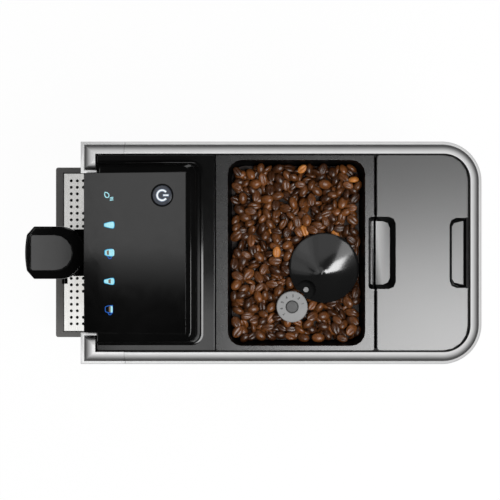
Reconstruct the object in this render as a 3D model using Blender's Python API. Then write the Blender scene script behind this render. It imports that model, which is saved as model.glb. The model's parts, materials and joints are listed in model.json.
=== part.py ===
"""A slim bean to cup coffee machine, built as the separate pieces that it comes apart into.

The frame of the model: +Z is up, -Y is the front with the drip tray and the coffee spout, +X is the
user's right. The origin lies on the worktop, under the middle of the machine. Lengths are in metres.
"""

import math
import random

import bmesh
import bpy
from mathutils import Matrix, Vector

MM = 0.001

# Overall sizes
BODY_WIDTH = 224.4 * MM
BODY_DEPTH = 404.4 * MM
TRAY_REACH = 67.6 * MM
RAIL_TOP_Z = 330.0 * MM
CORNER_RADIUS = 40.0 * MM

# Values shared by many pieces
GAP = 0.3 * MM
OVERRUN = 2.0 * MM
OVERLAP = 1.0 * MM
WELD_DISTANCE = 0.001 * MM
WALL = 3.0 * MM
SLIDE_CLEARANCE = 0.6 * MM
CORNER_STEPS = 4
ROUND_STEPS = 16
SHARP_ANGLE = math.radians(35.0)

# Silver rail round the top, and its black liner
RAIL_WIDTH = 13.0 * MM
RAIL_HEIGHT = 14.0 * MM
RAIL_LEDGE_WIDTH = 2.8 * MM
RAIL_LEDGE_HEIGHT = 3.0 * MM
RAIL_LAND = 1.2 * MM
RAIL_CURVE_STEPS = 5
LINER_WIDTH = 3.0 * MM
CAP_LENGTH = 45.0 * MM
CAP_FRONT_WIDTH = 16.0 * MM
CAP_FRONT_LEG = 31.8 * MM
PILLAR_WALL = 3.0 * MM
PILLAR_EDGE_RADIUS = 2.0 * MM

# Base, feet and tray
FOOT_RADIUS = 11.0 * MM
FOOT_HEIGHT = 6.0 * MM
FOOT_TAPER = 1.5 * MM
FOOT_INSET = 26.0 * MM
FOOT_STEM_RADIUS = 3.5 * MM
FOOT_STEM_HEIGHT = 2.6 * MM
BASE_FLOOR = 4.0 * MM
BASE_WALL = 3.5 * MM
BASE_NOSE_INSET = 7.0 * MM
BASE_NOSE_SETBACK = 12.0 * MM
TRAY_HEIGHT = 46.0 * MM
TRAY_DEPTH = 200.0 * MM
TRAY_WALL = 3.0 * MM
TRAY_FRONT_RIM = 9.2 * MM
TRAY_SIDE_RIM = 6.6 * MM
TRAY_EDGE_RADIUS = 2.5 * MM
TRAY_EDGE_ROUND = 1.2 * MM
TRAY_DRAFT = 1.6 * MM
TRAY_HEADROOM = 1.5 * MM
TRAY_RAIL_CLEARANCE = 1.2 * MM
GRIP_HALF_WIDTH = 45.0 * MM
GRIP_HEIGHT = 12.0 * MM
GRIP_DEPTH = 5.0 * MM
GRID_THICKNESS = 1.5 * MM
GRID_GAP = 1.2 * MM
GRID_LEDGE = 3.0 * MM
GRID_HOLE_RADIUS = 2.0 * MM
GRID_ROW_PITCH = 7.98 * MM
GRID_COLUMN_PITCH = 7.4 * MM
GRID_COLUMNS = 5
GRID_HOLE_SIDES = 6
GRID_FRONT_MARGIN = 8.6 * MM
GRID_SIDE_MARGIN = 6.0 * MM
GRID_REAR_MARGIN = 18.4 * MM
GRID_CUP_COLUMN = 4
GRID_CUP_ROW = 4
GRID_CUP_RADIUS = 12.5 * MM
BIN_WALL = 2.0 * MM
BIN_CLEARANCE = 1.5 * MM
BIN_CORNER = 4.0 * MM
BIN_DRAFT = 1.5 * MM
DECK_THICKNESS = 4.0 * MM
PUCK_CHUTE_HALF = 30.0 * MM

# Front wall and spout
FASCIA_RECESS = 11.0 * MM
FASCIA_TOP_Z = 268.0 * MM
GUIDE_STEM_HALF = 12.0 * MM
GUIDE_HEAD_HALF = 18.0 * MM
GUIDE_STEM_DEPTH = 6.0 * MM
GUIDE_HEAD_DEPTH = 4.0 * MM
GUIDE_HEIGHT = 134.0 * MM
GUIDE_TOP_DROP = 4.0 * MM
GUIDE_SLOT_HALF = 6.0 * MM
GUIDE_SLOT_MARGIN = 8.0 * MM
SPOUT_TOP_DROP = 6.0 * MM
SPOUT_HALF_WIDTH = 27.8 * MM
SPOUT_CHAMFER = 8.6 * MM
SPOUT_CHAMFER_DEPTH = 7.6 * MM
SPOUT_BULGE = 1.9 * MM
SPOUT_BULGE_STEPS = 6
SPOUT_SETBACK = 0.4 * MM
SPOUT_ROUND_SETBACK = 37.0 * MM
SPOUT_CAP_HEIGHT = 12.0 * MM
SPOUT_CAP_ROUND = 2.0 * MM
SPOUT_BODY_HEIGHT = 44.0 * MM
SPOUT_BODY_STEP = 1.2 * MM
SPOUT_BODY_TAPER = 5.0 * MM
SPOUT_NECK_HALF = 25.0 * MM
INSET_HALF_WIDTH = 18.6 * MM
INSET_SETBACK = 6.6 * MM
INSET_LENGTH = 43.4 * MM
INSET_DEPTH = 1.6 * MM
INSET_CORNER = 1.5 * MM
NOZZLE_SPACING = 26.0 * MM
NOZZLE_RADIUS = 6.0 * MM
NOZZLE_TIP_RADIUS = 4.2 * MM
NOZZLE_BORE = 2.4 * MM
NOZZLE_HEIGHT = 12.0 * MM
NOZZLE_SOCKET = 5.0 * MM
NOZZLE_BRIDGE_HALF = 2.5 * MM
NOZZLE_BRIDGE_HEIGHT = 3.0 * MM
MILK_PORT_RADIUS = 3.2 * MM
MILK_PORT_BORE = 1.6 * MM
MILK_PORT_REACH = 6.0 * MM

# Console with the sloped touch panel
PANEL_FRONT_SETBACK = 4.5 * MM
PANEL_SIDE_GAP = 0.8 * MM
PANEL_LENGTH = 104.5 * MM
PANEL_RISE = 18.0 * MM
PANEL_LIFT = 1.5 * MM
PANEL_THICKNESS = 3.0 * MM
CONSOLE_SIDE_SETBACK = 22.2 * MM
CONSOLE_BEZEL = 4.2 * MM
CONSOLE_REAR_BEZEL = 5.0 * MM
CONSOLE_REAR_SLOPE = 9.0 * MM
CONSOLE_CORNER = 9.0 * MM
CONSOLE_SHELL = 3.0 * MM
CONSOLE_SHOULDER_STEPS = 3
BOARD_THICKNESS = 1.6 * MM
BOARD_INSET = 9.0 * MM
BUTTON_RADIUS = 10.2 * MM
BUTTON_CLEARANCE = 0.3 * MM
BUTTON_TRAVEL = 0.9 * MM
BUTTON_FROM_SIDE = 22.6 * MM
BUTTON_FROM_REAR = 24.0 * MM
BUTTON_STEM_RADIUS = 4.0 * MM
COVER_THICKNESS = 3.0 * MM
COVER_DROP = 2.5 * MM
COVER_GAP = 1.0 * MM
COVER_CORNER = 1.5 * MM
COVER_EDGE = 0.6 * MM
FRONT_COVER_LENGTH = 118.8 * MM

# Bean hopper, its surround and what shows in it
SURROUND_LENGTH = 159.2 * MM
SEAM_GAP = 0.6 * MM
HOPPER_FRONT_STRIP = 12.1 * MM
HOPPER_LENGTH = 137.8 * MM
HOPPER_SIDE_STRIP = 5.0 * MM
HOPPER_CORNER = 14.0 * MM
HOPPER_WALL = 2.0 * MM
HOPPER_SHOULDER_DROP = 40.0 * MM
HOPPER_SHOULDER_INSET = 6.0 * MM
HOPPER_FLOOR_DROP = 52.0 * MM
THROAT_HALF = 27.0 * MM
THROAT_CORNER = 24.0 * MM
BED_DROP = 13.0 * MM
BED_CLEARANCE = 0.8 * MM
BEAN_CELL = 6.0 * MM
BEAN_CROWN = 4.4 * MM
BEAN_SCATTER = 1.5 * MM
BEAN_SEED = 7
COVER_CONE_RADIUS = 35.4 * MM
COVER_CONE_HEIGHT = 12.0 * MM
COVER_CONE_LIFT = 2.2 * MM
COVER_CONE_EDGE = 1.6 * MM
COVER_CONE_TIP = 2.0 * MM
COVER_NOTCH_CLEARANCE = 1.6 * MM
COVER_RECESS_RADIUS = 9.8 * MM
APEX_SHIFT = 8.4 * MM
APEX_DIRECTION = math.radians(-57.0)
NECK_RADIUS = 24.0 * MM
NECK_WALL = 2.5 * MM
NECK_FOOT_RISE = 1.0 * MM
NECK_WINDOW_HALF = 11.0 * MM
POINTER_RADIUS = 2.9 * MM
POINTER_HEIGHT = 2.0 * MM
POINTER_FROM_DIAL = 22.3 * MM

# Grinder
GRINDER_FROM_HOPPER_FRONT = 97.5 * MM
GRINDER_X = 15.3 * MM
GEAR_MODULE = 1.5 * MM
PINION_TEETH = 14
RING_TEETH = 54
SECTOR_TEETH = 13
GEAR_WIDTH = 9.0 * MM
GEAR_BACKLASH = 0.3 * MM
GEAR_DROP = 5.0 * MM
PRESSURE_ANGLE = math.radians(20.0)
ROOT_DEPTH_SHARE = 1.25
TIP_HEIGHT_SHARE = 0.95
DIAL_DIRECTION = math.radians(-40.0)
DIAL_RADIUS = 15.8 * MM
DIAL_HEIGHT = 6.0 * MM
DIAL_EDGE = 0.8 * MM
DIAL_LIFT = 6.5 * MM
DIAL_HUB_RADIUS = 6.1 * MM
DIAL_HUB_DEPTH = 1.2 * MM
DIAL_SHAFT_RADIUS = 3.5 * MM
DIAL_COLUMN_WALL = 2.0 * MM
PINION_FIT = 0.1 * MM
BURR_TEETH = 16
UPPER_BURR_RADIUS = 26.0 * MM
UPPER_BURR_TOP_BORE = 18.5 * MM
UPPER_BURR_LOW_BORE = 20.3 * MM
UPPER_BURR_HEIGHT = 14.0 * MM
CARRIER_SKIRT_WALL = 3.0 * MM
CARRIER_SKIRT_HEIGHT = 8.0 * MM
LOWER_BURR_TOP_RADIUS = 9.0 * MM
LOWER_BURR_RADIUS = 19.0 * MM
LOWER_BURR_HEIGHT = 18.0 * MM
LOWER_BURR_DROP = 2.5 * MM
BURR_TOOTH_DEPTH = 1.6 * MM
BURR_TWIST = math.radians(18.0)
DRIVE_SHAFT_RADIUS = 4.0 * MM
DRIVE_SHAFT_LENGTH = 24.0 * MM
GRIND_CHAMBER_HEIGHT = 26.0 * MM
GRIND_CHAMBER_WALL = 3.0 * MM
ARM_THICKNESS = 6.0 * MM
GEARBOX_RADIUS = 34.0 * MM
GEARBOX_HEIGHT = 26.0 * MM
GEARBOX_NOSE_RADIUS = 32.5 * MM
MOTOR_RADIUS = 26.0 * MM
MOTOR_HEIGHT = 58.0 * MM
MOTOR_CAP_RADIUS = 12.0 * MM
MOTOR_CAP_HEIGHT = 8.0 * MM
STAND_WALL = 3.0 * MM
STAND_WINDOW_HALF = 16.0 * MM

# Brewing and water parts inside the housing
BREW_Y_BEHIND_FASCIA = 72.0 * MM
BREW_HALF_WIDTH = 42.0 * MM
BREW_HALF_DEPTH = 32.0 * MM
BREW_HEIGHT = 160.0 * MM
BREW_PLATE = 5.0 * MM
CHAMBER_RADIUS = 24.0 * MM
CHAMBER_WALL = 3.0 * MM
CHAMBER_HEIGHT = 58.0 * MM
CHAMBER_DROP = 40.0 * MM
PISTON_CLEARANCE = 0.2 * MM
PISTON_HEIGHT = 12.0 * MM
PISTON_ROD_RADIUS = 7.0 * MM
PISTON_ROD_LENGTH = 58.0 * MM
BREW_HEAD_HEIGHT = 18.0 * MM
PUMP_RADIUS = 19.0 * MM
PUMP_LENGTH = 66.0 * MM
PUMP_NOSE_RADIUS = 7.0 * MM
PUMP_NOSE_LENGTH = 12.0 * MM
PUMP_X = -66.0 * MM
PUMP_CRADLE_HALF = 22.0 * MM
HEATER_HALF_WIDTH = 20.0 * MM
HEATER_LENGTH = 58.0 * MM
HEATER_HEIGHT = 74.0 * MM
HEATER_FIN_DEPTH = 3.0 * MM
HEATER_FINS = 5
HEATER_PORT_RADIUS = 4.5 * MM
HEATER_PORT_LENGTH = 8.0 * MM
HOSE_DIAMETER = 7.0 * MM
HOSE_STEPS = 14
BOARD_WIDTH = 104.0 * MM
BOARD_HEIGHT = 84.0 * MM
BOARD_FROM_SIDE = 12.0 * MM
BOARD_FOOT = 10.0 * MM
BOARD_FROM_TANK = 8.0 * MM
RELAY_SIZE = 20.0 * MM
SUPPLY_HEIGHT = 34.0 * MM
CHUTE_HALF_WIDTH = 9.0 * MM
CHUTE_HEIGHT = 14.0 * MM
CHUTE_WALL = 2.0 * MM

# Water tank, dock and lid
TANK_SIDE_CLEARANCE = 1.2 * MM
TANK_FRONT_CLEARANCE = 3.0 * MM
TANK_WALL = 2.5 * MM
TANK_FRONT_CORNER = 10.0 * MM
TANK_DRAFT = 2.0 * MM
TANK_RIM_DROP = 19.0 * MM
DOCK_HEIGHT = 34.0 * MM
DOCK_INSET = 3.0 * MM
VALVE_FROM_SIDE = 28.7 * MM
VALVE_RADIUS = 9.0 * MM
VALVE_REACH = 12.0 * MM
VALVE_COLLAR_RADIUS = 12.0 * MM
VALVE_COLLAR_HEIGHT = 3.0 * MM
VALVE_BORE = 4.0 * MM
SEAL_THICKNESS = 2.0 * MM
SEAL_HEIGHT = 3.0 * MM
LID_FRONT_GAP = 2.4 * MM
LID_REAR_GAP = 2.0 * MM
LID_FRONT_CORNER = 3.0 * MM
POCKET_HALF_WIDTH = 37.0 * MM
POCKET_FLOOR_HALF = 32.0 * MM
POCKET_DEPTH = 11.0 * MM
POCKET_SHELL = 1.2 * MM
POCKET_CORNER = 7.0 * MM
POCKET_EDGE_CORNER = 0.5 * MM
FRONT_POCKET_REACH = 19.8 * MM
FRONT_POCKET_FLOOR_REACH = 14.2 * MM
SURROUND_POCKET_REACH = 6.6 * MM
SURROUND_POCKET_FLOOR_REACH = 2.6 * MM
REAR_POCKET_HALF_WIDTH = 35.6 * MM
REAR_POCKET_FLOOR_HALF = 33.6 * MM
REAR_POCKET_REACH = 19.2 * MM
REAR_POCKET_FLOOR_REACH = 16.4 * MM
REAR_POCKET_DEPTH = 6.0 * MM

# Side panels, service door and rear panel
REAR_RETURN = 8.0 * MM
DOOR_FRONT_MARGIN = 8.0 * MM
DOOR_LENGTH = 124.0 * MM
DOOR_RISE = 19.3 * MM
DOOR_HEIGHT = 216.0 * MM
DOOR_GAP = 0.5 * MM
PIN_RADIUS = 0.9 * MM
PIN_LENGTH = 4.0 * MM
PIN_CLEARANCE = 0.2 * MM
DOOR_NOTCH_HALF = 14.0 * MM
DOOR_NOTCH_DEPTH = 5.0 * MM
LATCH_LENGTH = 8.0 * MM
LATCH_HALF_HEIGHT = 9.0 * MM
LATCH_THICKNESS = 1.6 * MM
VENT_LENGTH = 68.0 * MM
VENT_HEIGHT = 4.0 * MM
VENT_PITCH = 10.0 * MM
VENT_COUNT = 8
VENT_ABOVE_HEATER = 12.0 * MM
INLET_FROM_CORNER = 20.2 * MM
INLET_Z = 34.0 * MM
INLET_HALF_WIDTH = 15.0 * MM
INLET_HALF_HEIGHT = 11.5 * MM
INLET_DEPTH = 18.0 * MM
ENTRY_WALL = 2.0 * MM
INLET_CORNER = 4.0 * MM
INLET_PIN_SPACING = 7.0 * MM
INLET_PIN_HALF = 1.0 * MM
INLET_PIN_HEIGHT = 2.0 * MM
SWITCH_FROM_INLET = 30.0 * MM
SWITCH_HALF_WIDTH = 9.0 * MM
SWITCH_HALF_HEIGHT = 12.0 * MM
SWITCH_WELL_DEPTH = 11.0 * MM
ROCKER_HALF_HEIGHT = 10.6 * MM
ROCKER_FACE_HEIGHT = 3.0 * MM
ROCKER_DEPTH = 3.0 * MM
ROCKER_BACK_HALF = 6.0 * MM
ROCKER_TURN = math.radians(14.0)

# Places worked out from the sizes
HALF_WIDTH = BODY_WIDTH / 2
OVERALL_DEPTH = BODY_DEPTH + TRAY_REACH
REAR_Y = OVERALL_DEPTH / 2
BODY_FRONT_Y = REAR_Y - BODY_DEPTH
TRAY_FRONT_Y = -OVERALL_DEPTH / 2
CAP_REAR_Y = BODY_FRONT_Y + CAP_LENGTH
RAIL_BASE_Z = RAIL_TOP_Z - RAIL_HEIGHT
COVER_TOP_Z = RAIL_TOP_Z - COVER_DROP
COVER_BASE_Z = COVER_TOP_Z - COVER_THICKNESS
COVER_OFFSET = RAIL_WIDTH + COVER_GAP
LINER_OUTER = RAIL_WIDTH + GAP
LINER_INNER = LINER_OUTER + LINER_WIDTH
LINER_TOP_Z = COVER_BASE_Z - GAP
BASE_Z = FOOT_HEIGHT + GAP
TRAY_Z = BASE_Z + BASE_FLOOR + GAP
TRAY_TOP_Z = TRAY_Z + TRAY_HEIGHT
LOWER_Z = TRAY_TOP_Z + TRAY_HEADROOM
DECK_Z = LOWER_Z + GAP
DECK_TOP_Z = DECK_Z + DECK_THICKNESS
PANEL_OFFSET = WALL + GAP
TRAY_HALF_WIDTH = HALF_WIDTH - PANEL_OFFSET - BASE_WALL - TRAY_RAIL_CLEARANCE
TRAY_REAR_Y = TRAY_FRONT_Y + TRAY_DEPTH
FASCIA_Y = BODY_FRONT_Y + FASCIA_RECESS
FASCIA_BACK_Y = FASCIA_Y + WALL
PANEL_FRONT_Y = BODY_FRONT_Y + PANEL_FRONT_SETBACK
PANEL_FRONT_Z = COVER_TOP_Z + PANEL_LIFT
PANEL_HALF_WIDTH = HALF_WIDTH - CAP_FRONT_LEG - PANEL_SIDE_GAP
BUTTON_X = BUTTON_FROM_SIDE - PANEL_HALF_WIDTH
CONSOLE_HALF_WIDTH = HALF_WIDTH - CONSOLE_SIDE_SETBACK
PANEL_SLOPE = math.asin(PANEL_RISE / PANEL_LENGTH)
COVER_FRONT_Y = BODY_FRONT_Y + CAP_FRONT_WIDTH + COVER_GAP
FRONT_COVER_REAR_Y = COVER_FRONT_Y + FRONT_COVER_LENGTH
SURROUND_FRONT_Y = FRONT_COVER_REAR_Y + SEAM_GAP
SURROUND_REAR_Y = SURROUND_FRONT_Y + SURROUND_LENGTH
HOPPER_FRONT_Y = SURROUND_FRONT_Y + HOPPER_FRONT_STRIP
HOPPER_REAR_Y = HOPPER_FRONT_Y + HOPPER_LENGTH
HOPPER_HALF_WIDTH = HALF_WIDTH - COVER_OFFSET - HOPPER_SIDE_STRIP
HOPPER_TOP_Z = COVER_BASE_Z - GAP
HOPPER_FLOOR_Z = HOPPER_TOP_Z - HOPPER_FLOOR_DROP
GRINDER_Y = HOPPER_FRONT_Y + GRINDER_FROM_HOPPER_FRONT
GEAR_CENTRES = GEAR_MODULE * (PINION_TEETH + RING_TEETH) / 2
DIAL_X = GRINDER_X + GEAR_CENTRES * math.cos(DIAL_DIRECTION)
DIAL_Y = GRINDER_Y + GEAR_CENTRES * math.sin(DIAL_DIRECTION)
BED_TOP_Z = COVER_TOP_Z - BED_DROP
CONE_BASE_Z = BED_TOP_Z - COVER_CONE_LIFT
DIAL_BASE_Z = BED_TOP_Z + GAP + DIAL_LIFT - DIAL_HEIGHT
NECK_TOP_Z = CONE_BASE_Z - GAP
GEAR_TOP_Z = HOPPER_FLOOR_Z - HOPPER_WALL - GEAR_DROP
GEAR_BASE_Z = GEAR_TOP_Z - GEAR_WIDTH
TANK_Z = DECK_TOP_Z + GAP + DOCK_HEIGHT + GAP
TANK_TOP_Z = COVER_TOP_Z - TANK_RIM_DROP
TANK_FRONT_Y = SURROUND_REAR_Y + LID_FRONT_GAP + TANK_FRONT_CLEARANCE
TANK_OFFSET = LINER_INNER + TANK_SIDE_CLEARANCE
TANK_REAR_Y = REAR_Y - TANK_OFFSET
TANK_HALF_WIDTH = HALF_WIDTH - TANK_OFFSET
TANK_REAR_CORNER = CORNER_RADIUS - TANK_OFFSET
VALVE_X = VALVE_FROM_SIDE - TANK_HALF_WIDTH
LID_FRONT_Y = SURROUND_REAR_Y + LID_FRONT_GAP
LID_REAR_Y = REAR_Y - RAIL_WIDTH - LID_REAR_GAP
INLET_X = HALF_WIDTH - CORNER_RADIUS - INLET_FROM_CORNER
SWITCH_X = INLET_X - SWITCH_FROM_INLET
BREW_Y = FASCIA_BACK_Y + BREW_Y_BEHIND_FASCIA
SPOUT_TOP_Z = FASCIA_TOP_Z - SPOUT_TOP_DROP
SPOUT_FRONT_Y = TRAY_FRONT_Y + SPOUT_SETBACK
SPOUT_ROUND_Y = SPOUT_FRONT_Y + SPOUT_ROUND_SETBACK


def material(name, colour, roughness, metallic):
    made = bpy.data.materials.new(name)
    made.use_nodes = True
    shader = made.node_tree.nodes["Principled BSDF"]
    shader.inputs["Base Color"].default_value = (*colour, 1.0)
    shader.inputs["Roughness"].default_value = roughness
    shader.inputs["Metallic"].default_value = metallic
    return made


def make_materials():
    finishes = {
        "satin_silver": ((0.62, 0.62, 0.61), 0.32, 1.0),
        "gloss_black": ((0.012, 0.012, 0.013), 0.12, 0.0),
        "satin_black": ((0.03, 0.03, 0.032), 0.38, 0.0),
        "graphite": ((0.16, 0.16, 0.165), 0.3, 0.0),
        "steel_plate": ((0.7, 0.69, 0.67), 0.3, 1.0),
        "rubber": ((0.02, 0.02, 0.02), 0.8, 0.0),
        "smoke_plastic": ((0.12, 0.12, 0.13), 0.15, 0.0),
        "inner_plastic": ((0.25, 0.25, 0.26), 0.5, 0.0),
        "bean_brown": ((0.09, 0.035, 0.014), 0.45, 0.0),
        "burr_steel": ((0.5, 0.5, 0.5), 0.3, 1.0),
        "board_green": ((0.02, 0.14, 0.06), 0.5, 0.0),
        "silicone": ((0.75, 0.75, 0.72), 0.5, 0.0),
        "button_grey": ((0.2, 0.23, 0.3), 0.25, 0.0),
        "dial_grey": ((0.3, 0.3, 0.3), 0.45, 0.0),
    }
    return {name: material(name, *values) for name, values in finishes.items()}


def object_from(name, bm, finish=None):
    """Makes an object of a bmesh, with its faces pointing out."""
    bmesh.ops.remove_doubles(bm, verts=bm.verts, dist=WELD_DISTANCE)
    bmesh.ops.recalc_face_normals(bm, faces=bm.faces)
    mesh = bpy.data.meshes.new(name)
    bm.to_mesh(mesh)
    bm.free()
    obj = bpy.data.objects.new(name, mesh)
    bpy.context.scene.collection.objects.link(obj)
    if finish:
        mesh.materials.append(MATERIALS[finish])
    return obj


def loft(name, rings, finish=None, closed=False):
    """Skins rings of equally many points. The end rings are capped, or joined to each other."""
    bm = bmesh.new()
    rows = [[bm.verts.new(point) for point in ring] for ring in rings]
    count = len(rows[0])
    pairs = list(zip(rows, rows[1:]))
    if closed:
        pairs.append((rows[-1], rows[0]))
    for low, high in pairs:
        for i in range(count):
            j = (i + 1) % count
            bm.faces.new((low[i], low[j], high[j], high[i]))
    if not closed:
        bm.faces.new(rows[0])
        bm.faces.new(rows[-1])
    return object_from(name, bm, finish)


def at_height(outline, z):
    return [(x, y, z) for x, y in outline]


def prism(name, outline, z_low, z_high, finish=None):
    return loft(name, [at_height(outline, z_low), at_height(outline, z_high)], finish)


def side_prism(name, outline, x_low, x_high, finish=None):
    """Extrudes an outline of (y, z) points along X."""
    return loft(name, [[(x, y, z) for y, z in outline] for x in (x_low, x_high)], finish)


def box(name, low, high, finish=None):
    outline = [(low[0], low[1]), (high[0], low[1]), (high[0], high[1]), (low[0], high[1])]
    return prism(name, outline, low[2], high[2], finish)


def circle(x, y, radius, steps=ROUND_STEPS):
    turn = 2 * math.pi / steps
    return [(x + radius * math.cos(i * turn), y + radius * math.sin(i * turn)) for i in range(steps)]


def turned(name, profile, x, y, finish=None, closed=False, steps=ROUND_STEPS):
    """Turns (radius, z) points round an upright axis."""
    return loft(name, [at_height(circle(x, y, r, steps), z) for r, z in profile], finish, closed)


def turned_along_y(name, profile, x, z, finish=None, closed=False, steps=ROUND_STEPS):
    """Turns (radius, y) points round an axis along Y."""
    rings = [[(px, y, pz) for px, pz in circle(x, z, r, steps)] for r, y in profile]
    return loft(name, rings, finish, closed)


def arc(x, y, radius, start, steps=CORNER_STEPS):
    """Points of a quarter turn about (x, y) that begins at the angle start."""
    turn = math.pi / 2 / steps
    angles = [start + i * turn for i in range(steps + 1)]
    return [(x + radius * math.cos(a), y + radius * math.sin(a)) for a in angles]


def rounded_rect(x_low, x_high, y_low, y_high, radius, rear_radius=None, steps=CORNER_STEPS):
    """A rectangle with round corners. The two at y_high may have a radius of their own."""
    rear = radius if rear_radius is None else rear_radius
    return (
        arc(x_high - rear, y_high - rear, rear, 0, steps)
        + arc(x_low + rear, y_high - rear, rear, math.pi / 2, steps)
        + arc(x_low + radius, y_low + radius, radius, math.pi, steps)
        + arc(x_high - radius, y_low + radius, radius, 3 * math.pi / 2, steps)
    )


def bake(obj):
    """Makes the evaluated mesh the object's own, and drops its modifiers."""
    graph = bpy.context.evaluated_depsgraph_get()
    mesh = bpy.data.meshes.new_from_object(obj.evaluated_get(graph))
    old = obj.data
    obj.modifiers.clear()
    obj.data = mesh
    mesh.name = obj.name
    bpy.data.meshes.remove(old)


def combine(obj, operation, others):
    for other in others:
        modifier = obj.modifiers.new(operation.title(), "BOOLEAN")
        modifier.operation = operation
        modifier.solver = "EXACT"
        modifier.object = other
    bake(obj)
    for other in others:
        bpy.data.objects.remove(other)
    return obj


def cut(obj, *cutters):
    return combine(obj, "DIFFERENCE", cutters)


def join(obj, *others):
    return combine(obj, "UNION", others)


def keep_common(obj, other):
    return combine(obj, "INTERSECT", [other])


def mirrored(outline, side):
    """The outline for the right side, or its mirror image for the left."""
    return outline if side > 0 else [(-x, y) for x, y in reversed(outline)]


def u_path(start_y, steps=2 * CORNER_STEPS):
    """The plan line of the housing's sides and back: points on its outer face with their inward direction."""
    path = [((HALF_WIDTH, start_y), (-1.0, 0.0))]
    for sign, first in ((1, 0.0), (-1, math.pi / 2)):
        cx, cy = sign * (HALF_WIDTH - CORNER_RADIUS), REAR_Y - CORNER_RADIUS
        for i in range(steps + 1):
            a = first + i * math.pi / 2 / steps
            outward = (math.cos(a), math.sin(a))
            point = (cx + CORNER_RADIUS * outward[0], cy + CORNER_RADIUS * outward[1])
            path.append((point, (-outward[0], -outward[1])))
    path.append(((-HALF_WIDTH, start_y), (1.0, 0.0)))
    return path


def swept(name, profile, start_y, finish=None):
    """Sweeps a closed profile of (inward offset, z) points along the sides and back."""
    rings = [
        [(p[0] + n[0] * d, p[1] + n[1] * d, z) for d, z in profile] for p, n in u_path(start_y)
    ]
    return loft(name, rings, finish)


def u_outline(offset, start_y):
    """The plan outline inside the housing's sides and back at an inward offset, with a straight front."""
    return [(p[0] + n[0] * offset, p[1] + n[1] * offset) for p, n in u_path(start_y)]


def rail_curve():
    """The rail's crown, as (inward offset, z) points from the ledge up to the land at its top."""
    rise = RAIL_HEIGHT - RAIL_LEDGE_HEIGHT
    run = RAIL_WIDTH - RAIL_LEDGE_WIDTH - RAIL_LAND
    base_z = RAIL_BASE_Z + RAIL_LEDGE_HEIGHT
    angles = [i * math.pi / 2 / RAIL_CURVE_STEPS for i in range(RAIL_CURVE_STEPS + 1)]
    return [
        (RAIL_LEDGE_WIDTH + run * (1 - math.cos(a)), base_z + rise * math.sin(a)) for a in angles
    ]


def make_rail():
    profile = [(0, RAIL_BASE_Z), (0, RAIL_BASE_Z + RAIL_LEDGE_HEIGHT), *rail_curve()]
    profile += [(RAIL_WIDTH, RAIL_TOP_Z), (RAIL_WIDTH, RAIL_BASE_Z)]
    swept("top_rail", profile, CAP_REAR_Y, "satin_silver")
    liner = [
        (LINER_OUTER, RAIL_BASE_Z),
        (LINER_OUTER, LINER_TOP_Z),
        (LINER_INNER, LINER_TOP_Z),
        (LINER_INNER, RAIL_BASE_Z),
    ]
    swept("rail_liner", liner, CAP_REAR_Y, "satin_black")


def make_corner_caps():
    """The mitred caps of the two front pillars, whose crown is the rail's, turned round the corner."""
    levels = [(0, RAIL_BASE_Z), (0, RAIL_BASE_Z + RAIL_LEDGE_HEIGHT), *rail_curve()]
    rear_y = CAP_REAR_Y - GAP
    leg_y = BODY_FRONT_Y + CAP_FRONT_WIDTH
    for side, word in ((-1, "left"), (1, "right")):
        rings = []
        for d, z in levels:
            front_y, outer_x = BODY_FRONT_Y + d * CAP_FRONT_WIDTH / RAIL_WIDTH, HALF_WIDTH - d
            end_x = HALF_WIDTH - CAP_FRONT_LEG + d
            outline = [
                (end_x, front_y),
                (outer_x, front_y),
                (outer_x, rear_y),
                (HALF_WIDTH - RAIL_WIDTH, rear_y),
                (HALF_WIDTH - RAIL_WIDTH, leg_y),
                (end_x, leg_y),
            ]
            rings.append(at_height(mirrored(outline, side), z))
        loft("corner_cap_" + word, rings, "satin_silver")


def make_pillars():
    inner_x = HALF_WIDTH - PILLAR_WALL
    radius = PILLAR_EDGE_RADIUS
    edge = arc(HALF_WIDTH - radius, BODY_FRONT_Y + radius, radius, 3 * math.pi / 2, 2)
    outline = [(HALF_WIDTH - CAP_FRONT_LEG, BODY_FRONT_Y), *edge]
    outline += [
        (HALF_WIDTH, CAP_REAR_Y - GAP),
        (inner_x, CAP_REAR_Y - GAP),
        (inner_x, BODY_FRONT_Y + PILLAR_WALL),
        (HALF_WIDTH - CAP_FRONT_LEG, BODY_FRONT_Y + PILLAR_WALL),
    ]
    for side, word in ((-1, "left"), (1, "right")):
        plan = mirrored(outline, side)
        prism("front_pillar_" + word, plan, DECK_Z, RAIL_BASE_Z - GAP, "satin_silver")


def make_base():
    """The base pan: a floor with a nose under the drip tray, and walls that guide the tray."""
    pan = prism("base_pan", u_outline(PANEL_OFFSET, BODY_FRONT_Y), BASE_Z, LOWER_Z, "satin_black")
    hollow = u_outline(PANEL_OFFSET + BASE_WALL, BODY_FRONT_Y - OVERRUN)
    nose_half = TRAY_HALF_WIDTH - BASE_NOSE_INSET
    nose_low = (-nose_half, TRAY_FRONT_Y + BASE_NOSE_SETBACK, BASE_Z)
    nose_high = (nose_half, BODY_FRONT_Y + FOOT_INSET, BASE_Z + BASE_FLOOR)
    cut(pan, prism("hollow", hollow, BASE_Z + BASE_FLOOR, LOWER_Z + OVERRUN))
    join(pan, box("nose", nose_low, nose_high))
    holes = []
    for x, y, _ in foot_places():
        hole = circle(x, y, FOOT_STEM_RADIUS + GAP, ROUND_STEPS // 2)
        holes.append(prism("hole", hole, BASE_Z - OVERRUN, BASE_Z + FOOT_STEM_HEIGHT))
    low, high = entry_corners(GAP)
    cut(pan, *holes, box("entry", (low[0], low[1], low[2]), (high[0], REAR_Y, high[2])))


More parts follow.
